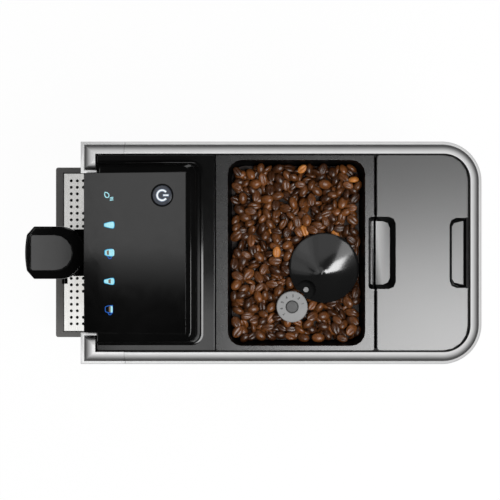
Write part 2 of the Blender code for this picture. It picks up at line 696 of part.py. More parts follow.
def foot_places():
    """Centres of the four feet and the words in their names."""
    x = TRAY_HALF_WIDTH - FOOT_INSET
    front_y = TRAY_FRONT_Y + BASE_NOSE_SETBACK + FOOT_INSET
    rear_y = REAR_Y - FOOT_INSET
    return [
        (-x, front_y, "front_left"),
        (x, front_y, "front_right"),
        (-x, rear_y, "rear_left"),
        (x, rear_y, "rear_right"),
    ]


def make_feet():
    profile = [
        (FOOT_RADIUS - FOOT_TAPER, 0),
        (FOOT_RADIUS, FOOT_HEIGHT),
        (FOOT_STEM_RADIUS, FOOT_HEIGHT),
        (FOOT_STEM_RADIUS, FOOT_HEIGHT + FOOT_STEM_HEIGHT),
    ]
    for x, y, words in foot_places():
        turned("foot_" + words, profile, x, y, "rubber")


def make_deck():
    """The inner deck above the tray, with the grinder's stand and the pump's cradle moulded on."""
    front_y = FASCIA_BACK_Y + GAP
    plan = u_outline(PANEL_OFFSET, front_y)
    deck = prism("inner_deck", plan, DECK_Z, DECK_TOP_Z, "inner_plastic")
    low = (-PUCK_CHUTE_HALF, BREW_Y - BREW_HALF_DEPTH + BREW_PLATE, DECK_Z - OVERRUN)
    high = (PUCK_CHUTE_HALF, BREW_Y + BREW_HALF_DEPTH - BREW_PLATE, DECK_TOP_Z + OVERRUN)
    cut(deck, box("chute_hole", low, high))
    inner = MOTOR_RADIUS + WALL
    outer = inner + STAND_WALL
    foot_z = DECK_Z + DECK_THICKNESS / 2
    top_z = gearbox_base_z() - GAP
    ring = [(inner, foot_z), (inner, top_z), (outer, top_z), (outer, foot_z)]
    stand = turned("stand", ring, GRINDER_X, GRINDER_Y, None, True)
    half, reach = STAND_WINDOW_HALF, outer + OVERRUN
    window_low = (GRINDER_X - half, GRINDER_Y - reach, DECK_TOP_Z + STAND_WALL * 2)
    window_high = (GRINDER_X + half, GRINDER_Y + reach, top_z - STAND_WALL * 2)
    cut(stand, box("window", window_low, window_high))
    third = PUMP_LENGTH / 3
    y, z, half = pump_front_y(), water_axis_z(), PUMP_CRADLE_HALF
    cradle_low = (PUMP_X - half, y + third, foot_z)
    cradle = box("cradle", cradle_low, (PUMP_X + half, y + 2 * third, z))
    bore = [(PUMP_RADIUS + GAP, y), (PUMP_RADIUS + GAP, y + PUMP_LENGTH)]
    cut(cradle, turned_along_y("bore", bore, PUMP_X, z))
    join(deck, stand, cradle)


def make_tray():
    """The drip tray: a water basin at the front and the seat of the grounds bin behind it."""

    def plan(inset):
        half = TRAY_HALF_WIDTH - inset
        front, rear = TRAY_FRONT_Y + inset, TRAY_REAR_Y - inset
        return rounded_rect(-half, half, front, rear, TRAY_EDGE_RADIUS, steps=3)

    rings = [at_height(plan(TRAY_DRAFT), TRAY_Z)]
    rings += rounded_edge(plan, TRAY_TOP_Z, TRAY_EDGE_ROUND)
    tray = loft("drip_tray", rings, "graphite")
    floor_z = TRAY_Z + TRAY_WALL
    grid_z = TRAY_TOP_Z - GRID_THICKNESS - GAP
    rim_x = TRAY_HALF_WIDTH - TRAY_SIDE_RIM
    front, rear = TRAY_FRONT_Y + TRAY_FRONT_RIM, grid_rear_y() + GRID_GAP
    basin_x = rim_x - GRID_LEDGE
    bin_half, bin_rear = bin_half_width(), TRAY_REAR_Y - TRAY_SIDE_RIM
    grip_high = (GRIP_HALF_WIDTH, TRAY_FRONT_Y + GRIP_DEPTH, TRAY_Z + GRIP_HEIGHT)
    cut(
        tray,
        box("ledge", (-rim_x, front, grid_z), (rim_x, rear, TRAY_TOP_Z + OVERRUN)),
        box(
            "basin",
            (-basin_x, front + GRID_LEDGE, floor_z),
            (basin_x, rear - GRID_LEDGE, TRAY_TOP_Z),
        ),
        box("bin_seat", (-bin_half, bin_front_y(), floor_z), (bin_half, bin_rear, TRAY_TOP_Z + OVERRUN)),
        box("grip", (-GRIP_HALF_WIDTH, TRAY_FRONT_Y - OVERRUN, TRAY_Z - OVERRUN), grip_high),
    )


def grid_front_y():
    return TRAY_FRONT_Y + TRAY_FRONT_RIM + GRID_GAP


def grid_rear_y():
    """The grid ends one margin behind its last column of holes."""
    return grid_front_y() + GRID_FRONT_MARGIN + (GRID_COLUMNS - 1) * GRID_COLUMN_PITCH + GRID_REAR_MARGIN


def grid_half_width():
    return TRAY_HALF_WIDTH - TRAY_SIDE_RIM - GRID_GAP


def bin_front_y():
    return grid_rear_y() + GRID_GAP + TRAY_WALL


def bin_half_width():
    return TRAY_HALF_WIDTH - TRAY_SIDE_RIM


def grid_hole_places():
    """Rows and columns of holes, without those where the two cup marks lie."""
    rows = 2 * int((grid_half_width() - GRID_SIDE_MARGIN) / GRID_ROW_PITCH) + 1
    middle = (rows - 1) / 2
    cup_y = grid_front_y() + GRID_FRONT_MARGIN + (GRID_CUP_COLUMN - 1) * GRID_COLUMN_PITCH
    cup_x = (middle - (GRID_CUP_ROW - 1)) * GRID_ROW_PITCH
    places = []
    for row in range(rows):
        for column in range(GRID_COLUMNS):
            x = (row - middle) * GRID_ROW_PITCH
            y = grid_front_y() + GRID_FRONT_MARGIN + column * GRID_COLUMN_PITCH
            if math.hypot(abs(x) - cup_x, y - cup_y) > GRID_CUP_RADIUS:
                places.append((x, y))
    return places


def make_grid():
    """The perforated steel plate, made flat with all its holes and then thickened."""
    half = grid_half_width()
    z_low = TRAY_TOP_Z - GRID_THICKNESS
    rim = [
        (-half, grid_front_y()),
        (half, grid_front_y()),
        (half, grid_rear_y()),
        (-half, grid_rear_y()),
    ]
    bm = bmesh.new()
    loops = [rim] + [
        circle(x, y, GRID_HOLE_RADIUS, GRID_HOLE_SIDES) for x, y in grid_hole_places()
    ]
    for loop in loops:
        verts = [bm.verts.new((x, y, z_low)) for x, y in loop]
        for i, vert in enumerate(verts):
            bm.edges.new((vert, verts[(i + 1) % len(verts)]))
    bmesh.ops.triangle_fill(bm, use_beauty=True, use_dissolve=False, edges=bm.edges)
    raised = bmesh.ops.extrude_face_region(bm, geom=bm.faces[:])["geom"]
    top = [item for item in raised if isinstance(item, bmesh.types.BMVert)]
    bmesh.ops.translate(bm, verts=top, vec=(0, 0, GRID_THICKNESS))
    object_from("drip_grid", bm, "steel_plate")


def make_bin():
    """The grounds bin, which stands in the rear of the tray and comes out with it."""

    def plan(inset):
        half = bin_half_width() - BIN_CLEARANCE - inset
        front = bin_front_y() + BIN_CLEARANCE + inset
        rear = TRAY_REAR_Y - TRAY_SIDE_RIM - BIN_CLEARANCE - inset
        return rounded_rect(-half, half, front, rear, BIN_CORNER, steps=2)

    z_low = TRAY_Z + TRAY_WALL + GAP
    rings = [
        at_height(plan(BIN_DRAFT + BIN_WALL), z_low + BIN_WALL),
        at_height(plan(BIN_WALL), TRAY_TOP_Z),
        at_height(plan(0.0), TRAY_TOP_Z),
        at_height(plan(BIN_DRAFT), z_low),
    ]
    loft("grounds_bin", rings, "inner_plastic")


def make_fascia():
    """The front wall behind the cups, with cheeks that come forward to the pillars."""
    half = HALF_WIDTH - CAP_FRONT_LEG - GAP
    front = PANEL_FRONT_Y
    plan = [
        (-half, front),
        (-half + WALL, front),
        (-half + WALL, FASCIA_Y),
        (half - WALL, FASCIA_Y),
        (half - WALL, front),
        (half, front),
        (half, FASCIA_BACK_Y),
        (-half, FASCIA_BACK_Y),
    ]
    fascia = prism("front_fascia", plan, DECK_Z, FASCIA_TOP_Z - GAP, "gloss_black")
    cut(fascia, guide_slot(FASCIA_Y - OVERRUN, FASCIA_BACK_Y + OVERRUN))


def guide_outline(clearance=0.0):
    """The T shape of the spout's guide in plan, or of the channel that runs on it."""
    stem, head = GUIDE_STEM_HALF + clearance, GUIDE_HEAD_HALF + clearance
    back = FASCIA_Y - GAP
    neck_y = back - GUIDE_STEM_DEPTH + clearance
    front_y = back - GUIDE_STEM_DEPTH - GUIDE_HEAD_DEPTH - clearance
    return [
        (-stem, back),
        (-stem, neck_y),
        (-head, neck_y),
        (-head, front_y),
        (head, front_y),
        (head, neck_y),
        (stem, neck_y),
        (stem, back),
    ]


def make_guide():
    top = FASCIA_TOP_Z - GUIDE_TOP_DROP
    guide = prism("spout_guide", guide_outline(), top - GUIDE_HEIGHT, top, "satin_black")
    front_y = FASCIA_Y - GUIDE_STEM_DEPTH - GUIDE_HEAD_DEPTH - OVERRUN
    cut(guide, guide_slot(front_y, FASCIA_Y))


def spout_outline(inset):
    """The cap in plan: gently bowed and chamfered at the front, round at the back."""
    half = SPOUT_HALF_WIDTH - inset
    front = SPOUT_FRONT_Y + inset
    steps = 2 * CORNER_STEPS
    right = arc(0, SPOUT_ROUND_Y, half, 0, steps)[:-1]
    left = arc(0, SPOUT_ROUND_Y, half, math.pi / 2, steps)
    flat = half - SPOUT_CHAMFER
    shares = [2 * i / SPOUT_BULGE_STEPS - 1 for i in range(SPOUT_BULGE_STEPS + 1)]
    bow = [(flat * share, front + SPOUT_BULGE * share * share) for share in shares]
    side_y = front + SPOUT_BULGE + SPOUT_CHAMFER_DEPTH
    return [*right, *left, (-half, side_y), *bow, (half, side_y)]


def inset_outline(clearance):
    """The spout's badge-free satin inset: straight at the front, a half circle at the back."""
    half = INSET_HALF_WIDTH + clearance
    front = SPOUT_FRONT_Y + INSET_SETBACK - clearance
    round_y = SPOUT_FRONT_Y + INSET_SETBACK + INSET_LENGTH - INSET_HALF_WIDTH
    right = arc(0, round_y, half, 0)[:-1]
    left = arc(0, round_y, half, math.pi / 2)
    return [
        *right,
        *left,
        (-half, front + INSET_CORNER),
        (-half + INSET_CORNER, front),
        (half - INSET_CORNER, front),
        (half, front + INSET_CORNER),
    ]


def make_spout():
    """The height-adjustable coffee spout: body with its milk port, cap, inset and nozzle block."""
    cap_base = SPOUT_TOP_Z - SPOUT_CAP_HEIGHT
    rings = [at_height(spout_outline(0.0), cap_base)]
    rings += rounded_edge(spout_outline, SPOUT_TOP_Z, SPOUT_CAP_ROUND)
    cap = loft("spout_cap", rings, "gloss_black")
    floor_z = SPOUT_TOP_Z - INSET_DEPTH
    cut(cap, prism("recess", inset_outline(GAP), floor_z - GAP, SPOUT_TOP_Z + OVERRUN))
    inset = prism("spout_inset", inset_outline(0.0), floor_z, SPOUT_TOP_Z, "graphite")
    body_top = cap_base - GAP
    body_base = body_top - SPOUT_BODY_HEIGHT
    rings = [
        at_height(spout_outline(SPOUT_BODY_TAPER + SPOUT_BODY_STEP), body_base),
        at_height(spout_outline(SPOUT_BODY_STEP), body_top),
    ]
    body = loft("spout_body", rings, "satin_black")
    neck_low = (-SPOUT_NECK_HALF, SPOUT_ROUND_Y, body_base)
    neck_high = (SPOUT_NECK_HALF, FASCIA_Y - SLIDE_CLEARANCE, body_top)
    port, port_bore = milk_port_shapes((body_top + body_base) / 2)
    join(body, box("neck", neck_low, neck_high), port)
    channel = prism("channel", guide_outline(SLIDE_CLEARANCE), body_base - OVERRUN, body_top + OVERRUN)
    seat_top = body_base + NOZZLE_SOCKET
    bridge_half = NOZZLE_SPACING / 2
    seat_low = (-bridge_half, SPOUT_ROUND_Y - NOZZLE_BRIDGE_HALF - GAP, body_base - OVERRUN)
    seats = [box("seat", seat_low, (bridge_half, SPOUT_ROUND_Y + NOZZLE_BRIDGE_HALF + GAP, seat_top))]
    nozzles = []
    for side in (-1, 1):
        x = side * NOZZLE_SPACING / 2
        seat_plan = circle(x, SPOUT_ROUND_Y, NOZZLE_RADIUS + GAP)
        seats.append(prism("seat", seat_plan, body_base - OVERRUN, seat_top))
        nozzles.append(make_nozzle(x, body_base))
    cut(body, channel, port_bore, *seats)
    bridge_low = (-bridge_half, SPOUT_ROUND_Y - NOZZLE_BRIDGE_HALF, seat_top - GAP - NOZZLE_BRIDGE_HEIGHT)
    bridge_high = (bridge_half, SPOUT_ROUND_Y + NOZZLE_BRIDGE_HALF, seat_top - GAP)
    block, other = nozzles
    join(block, other, box("bridge", bridge_low, bridge_high))
    bores = []
    for side in (-1, 1):
        bore = circle(side * NOZZLE_SPACING / 2, SPOUT_ROUND_Y, NOZZLE_BORE, ROUND_STEPS // 2)
        bores.append(prism("bore", bore, body_base - NOZZLE_HEIGHT - OVERRUN, seat_top))
    cut(block, *bores)
    return [body, cap, inset, block]


def slope_frame(x=0.0, along=0.0, above=0.0):
    """A place on the sloped panel: x to the side, along the slope from its front edge, above it."""
    start = Matrix.Translation((0, PANEL_FRONT_Y, PANEL_FRONT_Z))
    return start @ Matrix.Rotation(PANEL_SLOPE, 4, "X") @ Matrix.Translation((x, along, above))


def slope_height(y):
    return PANEL_FRONT_Z + (y - PANEL_FRONT_Y) * math.tan(PANEL_SLOPE)


def console_outline(inset, clearance=0.0):
    """The console in plan: a nose between the corner caps, and the wider part behind them."""
    nose = PANEL_HALF_WIDTH + clearance
    half = CONSOLE_HALF_WIDTH - inset + clearance
    shoulder = COVER_FRONT_Y + inset - clearance
    rear = console_rear_y() - inset * CONSOLE_REAR_SLOPE / CONSOLE_BEZEL + clearance
    radius = CONSOLE_CORNER + clearance
    corners = arc(half - radius, rear - radius, radius, 0)
    corners += arc(-half + radius, rear - radius, radius, math.pi / 2)
    return [
        *corners,
        (-half, shoulder),
        (-nose, shoulder),
        (-nose, PANEL_FRONT_Y),
        (nose, PANEL_FRONT_Y),
        (nose, shoulder),
        (half, shoulder),
    ]


def console_rear_y():
    return panel_rear_y() + CONSOLE_REAR_BEZEL + CONSOLE_REAR_SLOPE


def make_console():
    """The raised wedge at the front of the top, with the panel, its board and the power button."""
    rings = [at_height(console_outline(0.0), z) for z in (FASCIA_TOP_Z, COVER_TOP_Z)]
    for i in range(1, CONSOLE_SHOULDER_STEPS + 1):
        a = i * math.pi / 2 / CONSOLE_SHOULDER_STEPS
        outline = console_outline(CONSOLE_BEZEL * (1 - math.cos(a)))
        rise = math.sin(a)
        rings.append([(x, y, COVER_TOP_Z + (slope_height(y) - COVER_TOP_Z) * rise) for x, y in outline])
    console = loft("console_housing", rings, "gloss_black")
    board_top = -PANEL_THICKNESS - GAP
    seat_floor = board_top - BOARD_THICKNESS - GAP
    half = PANEL_HALF_WIDTH - BOARD_INSET
    seat_end = PANEL_LENGTH - BOARD_INSET + GAP
    cut(
        console,
        console_hollow(seat_floor),
        slope_box("seat", PANEL_HALF_WIDTH + GAP, -OVERRUN, PANEL_LENGTH + GAP, board_top, OVERRUN),
        slope_box("board_seat", half + GAP, BOARD_INSET - GAP, seat_end, seat_floor, OVERRUN),
    )
    panel = slope_box("control_panel", PANEL_HALF_WIDTH, 0, PANEL_LENGTH, -PANEL_THICKNESS, 0, "gloss_black")
    board_base = board_top - BOARD_THICKNESS
    board = slope_box(
        "display_board", half, BOARD_INSET, PANEL_LENGTH - BOARD_INSET, board_base, board_top, "board_green"
    )
    along = PANEL_LENGTH - BUTTON_FROM_REAR
    hole = BUTTON_RADIUS + BUTTON_CLEARANCE
    cut(panel, slope_round("hole", [(hole, -PANEL_THICKNESS - OVERRUN), (hole, OVERRUN)], along))
    bore = BUTTON_STEM_RADIUS + BUTTON_CLEARANCE
    cut(board, slope_round("bore", [(bore, seat_floor - OVERRUN), (bore, 0)], along))
    face_base = -PANEL_THICKNESS + BUTTON_TRAVEL + GAP
    profile = [
        (BUTTON_STEM_RADIUS, board_base + BUTTON_TRAVEL),
        (BUTTON_STEM_RADIUS, face_base),
        (BUTTON_RADIUS, face_base),
        (BUTTON_RADIUS, 0),
    ]
    return slope_round("power_button", profile, along, "button_grey")


def slope_box(name, half, along_low, along_high, low, high, finish=None):
    """A box in the panel's own frame, whose origin is the middle of the panel's front edge."""
    obj = box(name, (-half, along_low, low), (half, along_high, high), finish)
    obj.matrix_world = slope_frame()
    return obj


def slope_round(name, profile, along, finish=None, closed=False):
    """A turned piece that stands square to the panel, on the power button's axis."""
    obj = turned(name, profile, 0, 0, finish, closed)
    obj.matrix_world = slope_frame(BUTTON_X, along)
    return obj


def make_covers():
    """The flat black cover round the console, and the surround of the bean hopper."""
    plan = cover_plan(COVER_FRONT_Y, FRONT_COVER_REAR_Y)
    cover = plate("front_cover", plan, COVER_BASE_Z, COVER_TOP_Z, "satin_black")
    z_low, z_high = COVER_BASE_Z - OVERRUN, COVER_TOP_Z + OVERRUN
    cut(cover, prism("opening", console_outline(0.0, GAP), z_low, z_high))
    plan = cover_plan(SURROUND_FRONT_Y, SURROUND_REAR_Y)
    surround = plate("hopper_surround", plan, COVER_BASE_Z, COVER_TOP_Z, "satin_black")
    halves = (POCKET_HALF_WIDTH, POCKET_FLOOR_HALF)
    reaches = (-SURROUND_POCKET_REACH, -SURROUND_POCKET_FLOOR_REACH)
    space, shell = pocket_pair(SURROUND_REAR_Y, halves, reaches, POCKET_DEPTH)
    join(surround, shell)
    cut(surround, space, prism("mouth", hopper_outline(0.0), z_low, z_high))


def pocket_pair(edge_y, halves, reaches, depth):
    """A finger pocket at an edge: the space to cut, and the shell round it to add first.

    Its half widths and its reaches from the edge are given at the top and at the floor.
    """
    sign = 1 if reaches[0] > 0 else -1
    shapes = []
    for grow, overrun in ((0.0, OVERRUN), (POCKET_SHELL, 0.0)):
        rings = []
        levels = ((COVER_TOP_Z + overrun, 0), (COVER_TOP_Z - depth - grow, 1))
        for z, level in levels:
            half = halves[level] + grow
            reach = abs(reaches[level]) + grow
            ends = sorted((edge_y - sign * overrun, edge_y + sign * reach))
            radius = min(POCKET_CORNER, reach / 2)
            near, far = (POCKET_EDGE_CORNER, radius) if sign > 0 else (radius, POCKET_EDGE_CORNER)
            rings.append(at_height(rounded_rect(-half, half, *ends, near, far, steps=2), z))
        shapes.append(loft("pocket", rings))
    return shapes


def hopper_outline(inset):
    half = HOPPER_HALF_WIDTH - inset
    front, rear = HOPPER_FRONT_Y + inset, HOPPER_REAR_Y - inset
    return rounded_rect(-half, half, front, rear, HOPPER_CORNER - inset / 2)


def throat_outline(grow):
    half = THROAT_HALF + grow
    return rounded_rect(
        GRINDER_X - half, GRINDER_X + half, GRINDER_Y - half, GRINDER_Y + half, THROAT_CORNER
    )


def make_hopper():
    """The bean container: a tapering shell with a guard over the burrs and the dial's column."""
    low_z = HOPPER_FLOOR_Z - HOPPER_WALL
    inside = hopper_levels(0.0)
    rings = [at_height(throat_outline(0.0), low_z), *inside]
    for ring in reversed(hopper_levels(-HOPPER_WALL)[1:]):
        rings.append([(x, y, z if z >= HOPPER_TOP_Z else z - HOPPER_WALL) for x, y, z in ring])
    rings.append(at_height(throat_outline(HOPPER_WALL), low_z))
    hopper = loft("bean_hopper", rings, "satin_black", closed=True)
    outer = DIAL_SHAFT_RADIUS + GAP + DIAL_COLUMN_WALL
    column = circle(DIAL_X, DIAL_Y, outer, ROUND_STEPS // 2)
    join(hopper, prism("column", column, low_z, DIAL_BASE_Z - GAP), guard_shape(low_z))
    bore = circle(DIAL_X, DIAL_Y, DIAL_SHAFT_RADIUS + GAP, ROUND_STEPS // 2)
    cut(hopper, prism("bore", bore, low_z - OVERRUN, DIAL_BASE_Z + OVERRUN))


def make_cone():
    """The shiny cover over the burrs, with an apex off its middle, and the pointer screw of the dial."""
    steps = 2 * ROUND_STEPS
    edge_z = CONE_BASE_Z + COVER_CONE_EDGE
    top_z = CONE_BASE_Z + COVER_CONE_HEIGHT
    apex_x = GRINDER_X + APEX_SHIFT * math.cos(APEX_DIRECTION)
    apex_y = GRINDER_Y + APEX_SHIFT * math.sin(APEX_DIRECTION)
    rings = [
        at_height(circle(GRINDER_X, GRINDER_Y, COVER_CONE_RADIUS, steps), CONE_BASE_Z),
        at_height(circle(GRINDER_X, GRINDER_Y, COVER_CONE_RADIUS, steps), edge_z),
        at_height(circle(apex_x, apex_y, COVER_CONE_TIP, steps), top_z),
    ]
    cone = loft("grinder_cover", rings, "gloss_black")
    reach = GEAR_CENTRES - POINTER_FROM_DIAL
    x = GRINDER_X + reach * math.cos(DIAL_DIRECTION)
    y = GRINDER_Y + reach * math.sin(DIAL_DIRECTION)
    notch = circle(DIAL_X, DIAL_Y, DIAL_RADIUS + COVER_NOTCH_CLEARANCE)
    seat_z = CONE_BASE_Z + COVER_CONE_EDGE / 2
    seat = circle(x, y, POINTER_RADIUS + GAP, ROUND_STEPS // 2)
    cut(
        cone,
        prism("notch", notch, CONE_BASE_Z - OVERRUN, top_z),
        prism("recess", circle(x, y, COVER_RECESS_RADIUS), edge_z, top_z),
        prism("seat", seat, seat_z, top_z),
    )
    screw = [(POINTER_RADIUS, seat_z + GAP), (POINTER_RADIUS, seat_z + GAP + POINTER_HEIGHT)]
    turned("pointer_screw", screw, x, y, "dial_grey", steps=ROUND_STEPS // 2)


def make_beans():
    """The beans that fill the hopper, as one load whose top has a crown for each bean."""
    chance = random.Random(BEAN_SEED)
    half_x, half_y = HOPPER_HALF_WIDTH + OVERRUN, HOPPER_LENGTH / 2 + OVERRUN
    middle_y = (HOPPER_FRONT_Y + HOPPER_REAR_Y) / 2
    columns, rows = int(2 * half_x / BEAN_CELL), int(2 * half_y / BEAN_CELL)
    bm = bmesh.new()
    bmesh.ops.create_grid(bm, x_segments=columns, y_segments=rows, size=1.0)
    for vert in bm.verts:
        i = round((vert.co.x + 1) / 2 * columns)
        j = round((vert.co.y + 1) / 2 * rows)
        rise = i % 2 + j % 2
        shift = [BEAN_SCATTER * chance.uniform(-1, 1) if rise else 0.0 for _ in range(3)]
        x, y = vert.co.x * half_x + shift[0], middle_y + vert.co.y * half_y + shift[1]
        vert.co = (x, y, BED_TOP_Z - BEAN_CROWN * (2 - rise) / 2 - abs(shift[2]))
    rim = [edge for edge in bm.edges if edge.is_boundary]
    walls = bmesh.ops.extrude_edge_only(bm, edges=rim)["geom"]
    for item in walls:
        if isinstance(item, bmesh.types.BMVert):
            item.co.z = HOPPER_FLOOR_Z - OVERRUN
    bmesh.ops.holes_fill(bm, edges=[edge for edge in bm.edges if edge.is_boundary])
    bed = object_from("bean_load", bm, "bean_brown")
    floor, shoulder, top = hopper_levels(BED_CLEARANCE)
    floor = [(x, y, z + BED_CLEARANCE) for x, y, z in floor]
    keep_common(bed, loft("space", [floor, shoulder, top]))
    column = DIAL_SHAFT_RADIUS + GAP + DIAL_COLUMN_WALL + GAP
    guard = NECK_RADIUS + NECK_WALL + GAP
    low_z = HOPPER_FLOOR_Z - OVERRUN
    cover = circle(GRINDER_X, GRINDER_Y, COVER_CONE_RADIUS + GAP, 2 * ROUND_STEPS)
    cut(
        bed,
        prism("cover", cover, CONE_BASE_Z - GAP, COVER_TOP_Z),
        prism("guard", circle(GRINDER_X, GRINDER_Y, guard), low_z, COVER_TOP_Z),
        prism("column", circle(DIAL_X, DIAL_Y, column, ROUND_STEPS // 2), low_z, COVER_TOP_Z),
    )


def involute(base_radius, radius):
    """The angle that an involute has turned by when it reaches a radius."""
    a = math.acos(min(1.0, base_radius / radius))
    return math.tan(a) - a


def gear_outline(teeth, made_teeth, centre_angle):
    """A spur gear in plan about the origin. Only made_teeth of its teeth are cut, round centre_angle."""
    pitch_radius = GEAR_MODULE * teeth / 2
    base = pitch_radius * math.cos(PRESSURE_ANGLE)
    root = pitch_radius - ROOT_DEPTH_SHARE * GEAR_MODULE
    tip = pitch_radius + TIP_HEIGHT_SHARE * GEAR_MODULE
    thinned = GEAR_BACKLASH / 2 / pitch_radius
    half_tooth = math.pi / 2 / teeth - thinned + involute(base, pitch_radius)
    low = max(base, root)
    radii = [low, pitch_radius, tip]
    points = []
    step = 2 * math.pi / teeth
    first = -(made_teeth // 2)
    for i in range(first, first + made_teeth):
        middle = centre_angle + i * step
        if root < base:
            points.append((root, middle - half_tooth))
        points += [(r, middle - half_tooth + involute(base, r)) for r in radii]
        points += [(r, middle + half_tooth - involute(base, r)) for r in reversed(radii)]
        if root < base:
            points.append((root, middle + half_tooth))
    if made_teeth < teeth:
        start = centre_angle + (first + made_teeth - 1) * step + half_tooth * 1.5
        rest = 2 * math.pi - (made_teeth - 1) * step - half_tooth * 3
        count = ROUND_STEPS
        points += [(root, start + rest * i / count) for i in range(count + 1)]
    return [(r * math.cos(a), r * math.sin(a)) for r, a in points]


def moved(outline, x, y):
    return [(px + x, py + y) for px, py in outline]


def burr_ring(x, y, radius, z, twist, depth):
    """One level of a toothed burr, whose points stand in and out by the depth of its teeth."""
    count = 2 * BURR_TEETH
    return [
        (
            x + (radius - depth * (i % 2)) * math.cos(twist + 2 * math.pi * i / count),
            y + (radius - depth * (i % 2)) * math.sin(twist + 2 * math.pi * i / count),
            z,
        )
        for i in range(count)
    ]


def make_grinder():
    """The conical burrs, and the toothed carrier that the dial turns to set the grind."""
    x, y = GRINDER_X, GRINDER_Y
    ring = gear_outline(RING_TEETH, SECTOR_TEETH, DIAL_DIRECTION)
    carrier = prism("burr_carrier", moved(ring, x, y), GEAR_BASE_Z, GEAR_TOP_Z, "inner_plastic")
    seat = UPPER_BURR_RADIUS + GAP
    skirt_low = GEAR_BASE_Z - CARRIER_SKIRT_HEIGHT
    skirt = [(carrier_skirt_radius(), skirt_low), (carrier_skirt_radius(), GEAR_BASE_Z + OVERLAP)]
    join(carrier, turned("skirt", skirt, x, y))
    burr_top = GEAR_TOP_Z - GEAR_WIDTH / 3
    burr_low = burr_top - UPPER_BURR_HEIGHT
    funnel = [
        (seat, skirt_low - OVERRUN),
        (seat, burr_top + GAP),
        (UPPER_BURR_TOP_BORE + BURR_TOOTH_DEPTH, burr_top + GAP),
        (UPPER_BURR_RADIUS, GEAR_TOP_Z + OVERRUN),
    ]
    cut(carrier, turned("funnel", funnel, x, y, steps=2 * BURR_TEETH))
    depth = BURR_TOOTH_DEPTH
    rings = [
        burr_ring(x, y, UPPER_BURR_LOW_BORE + depth, burr_low, 0, depth),
        burr_ring(x, y, UPPER_BURR_TOP_BORE + depth, burr_top, BURR_TWIST, depth),
        at_height(circle(x, y, UPPER_BURR_RADIUS, 2 * BURR_TEETH), burr_top),
        at_height(circle(x, y, UPPER_BURR_RADIUS, 2 * BURR_TEETH), burr_low),
    ]
    upper = loft("upper_burr", rings, "burr_steel", closed=True)
    low_z = lower_burr_base_z()
    rings = [
        burr_ring(x, y, LOWER_BURR_RADIUS, low_z, 0, depth),
        burr_ring(x, y, LOWER_BURR_TOP_RADIUS, low_z + LOWER_BURR_HEIGHT, -BURR_TWIST, depth),
    ]
    lower = loft("lower_burr", rings, "burr_steel")
    shaft = [(DRIVE_SHAFT_RADIUS, drive_shaft_base_z()), (DRIVE_SHAFT_RADIUS, low_z + OVERLAP)]
    join(lower, turned("shaft", shaft, x, y, steps=ROUND_STEPS // 2))
    make_chamber()
    make_motor()
    return [carrier, upper], [lower]


def make_chamber():
    """The ground coffee chamber, with an outlet in front and an arm that guides the dial's shaft."""
    x, y = GRINDER_X, GRINDER_Y
    wall = GRIND_CHAMBER_WALL
    outer, top_z, floor_z = chamber_radius(), chamber_top_z(), chamber_floor_z()
    inner = outer - wall
    body = [(outer, floor_z), (outer, top_z)]
    chamber = turned("grind_chamber", body, x, y, "inner_plastic")
    half = DIAL_SHAFT_RADIUS + GAP + wall
    arm = box("arm", (-half, 0, -ARM_THICKNESS), (half, GEAR_CENTRES + half, 0))
    turn = Matrix.Rotation(DIAL_DIRECTION - math.pi / 2, 4, "Z")
    arm.matrix_world = Matrix.Translation((x, y, top_z)) @ turn
    join(chamber, arm)
    hollow = [(inner, floor_z + wall), (inner, GEAR_TOP_Z)]
    outlet_low = (x - CHUTE_HALF_WIDTH, y - outer - OVERRUN, floor_z + wall)
    outlet_high = (x + CHUTE_HALF_WIDTH, y, floor_z + wall + CHUTE_HEIGHT)
    pivot = circle(DIAL_X, DIAL_Y, DIAL_SHAFT_RADIUS + GAP, ROUND_STEPS)
    bore = circle(x, y, DRIVE_SHAFT_RADIUS + SLIDE_CLEARANCE, ROUND_STEPS // 2)
    cut(
        chamber,
        turned("hollow", hollow, x, y),
        box("outlet", outlet_low, outlet_high),
        prism("pivot", pivot, floor_z, GEAR_TOP_Z),
        prism("bore", bore, floor_z - OVERRUN, GEAR_TOP_Z),
    )
    make_ground_chute(y - outer, floor_z + wall)


def make_ground_chute(start_y, start_z):
    """The square duct that takes the ground coffee from the chamber to the brewing unit."""
    half, high = CHUTE_HALF_WIDTH, CHUTE_HEIGHT
    end_y = BREW_Y + BREW_HALF_DEPTH + GAP
    end_z = brew_top_z() - BREW_PLATE - CHUTE_HEIGHT - CHUTE_WALL * 2
    stations = [(GRINDER_X, start_y - GAP, start_z), (0.0, end_y, end_z)]
    rings = []
    for grow, places in ((0.0, stations), (CHUTE_WALL, stations[::-1])):
        for x, y, z in places:
            low, top = z - grow, z + high + grow
            left, right = x - half - grow, x + half + grow
            rings.append([(left, y, low), (right, y, low), (right, y, top), (left, y, top)])
    loft("ground_chute", rings, "inner_plastic", closed=True)


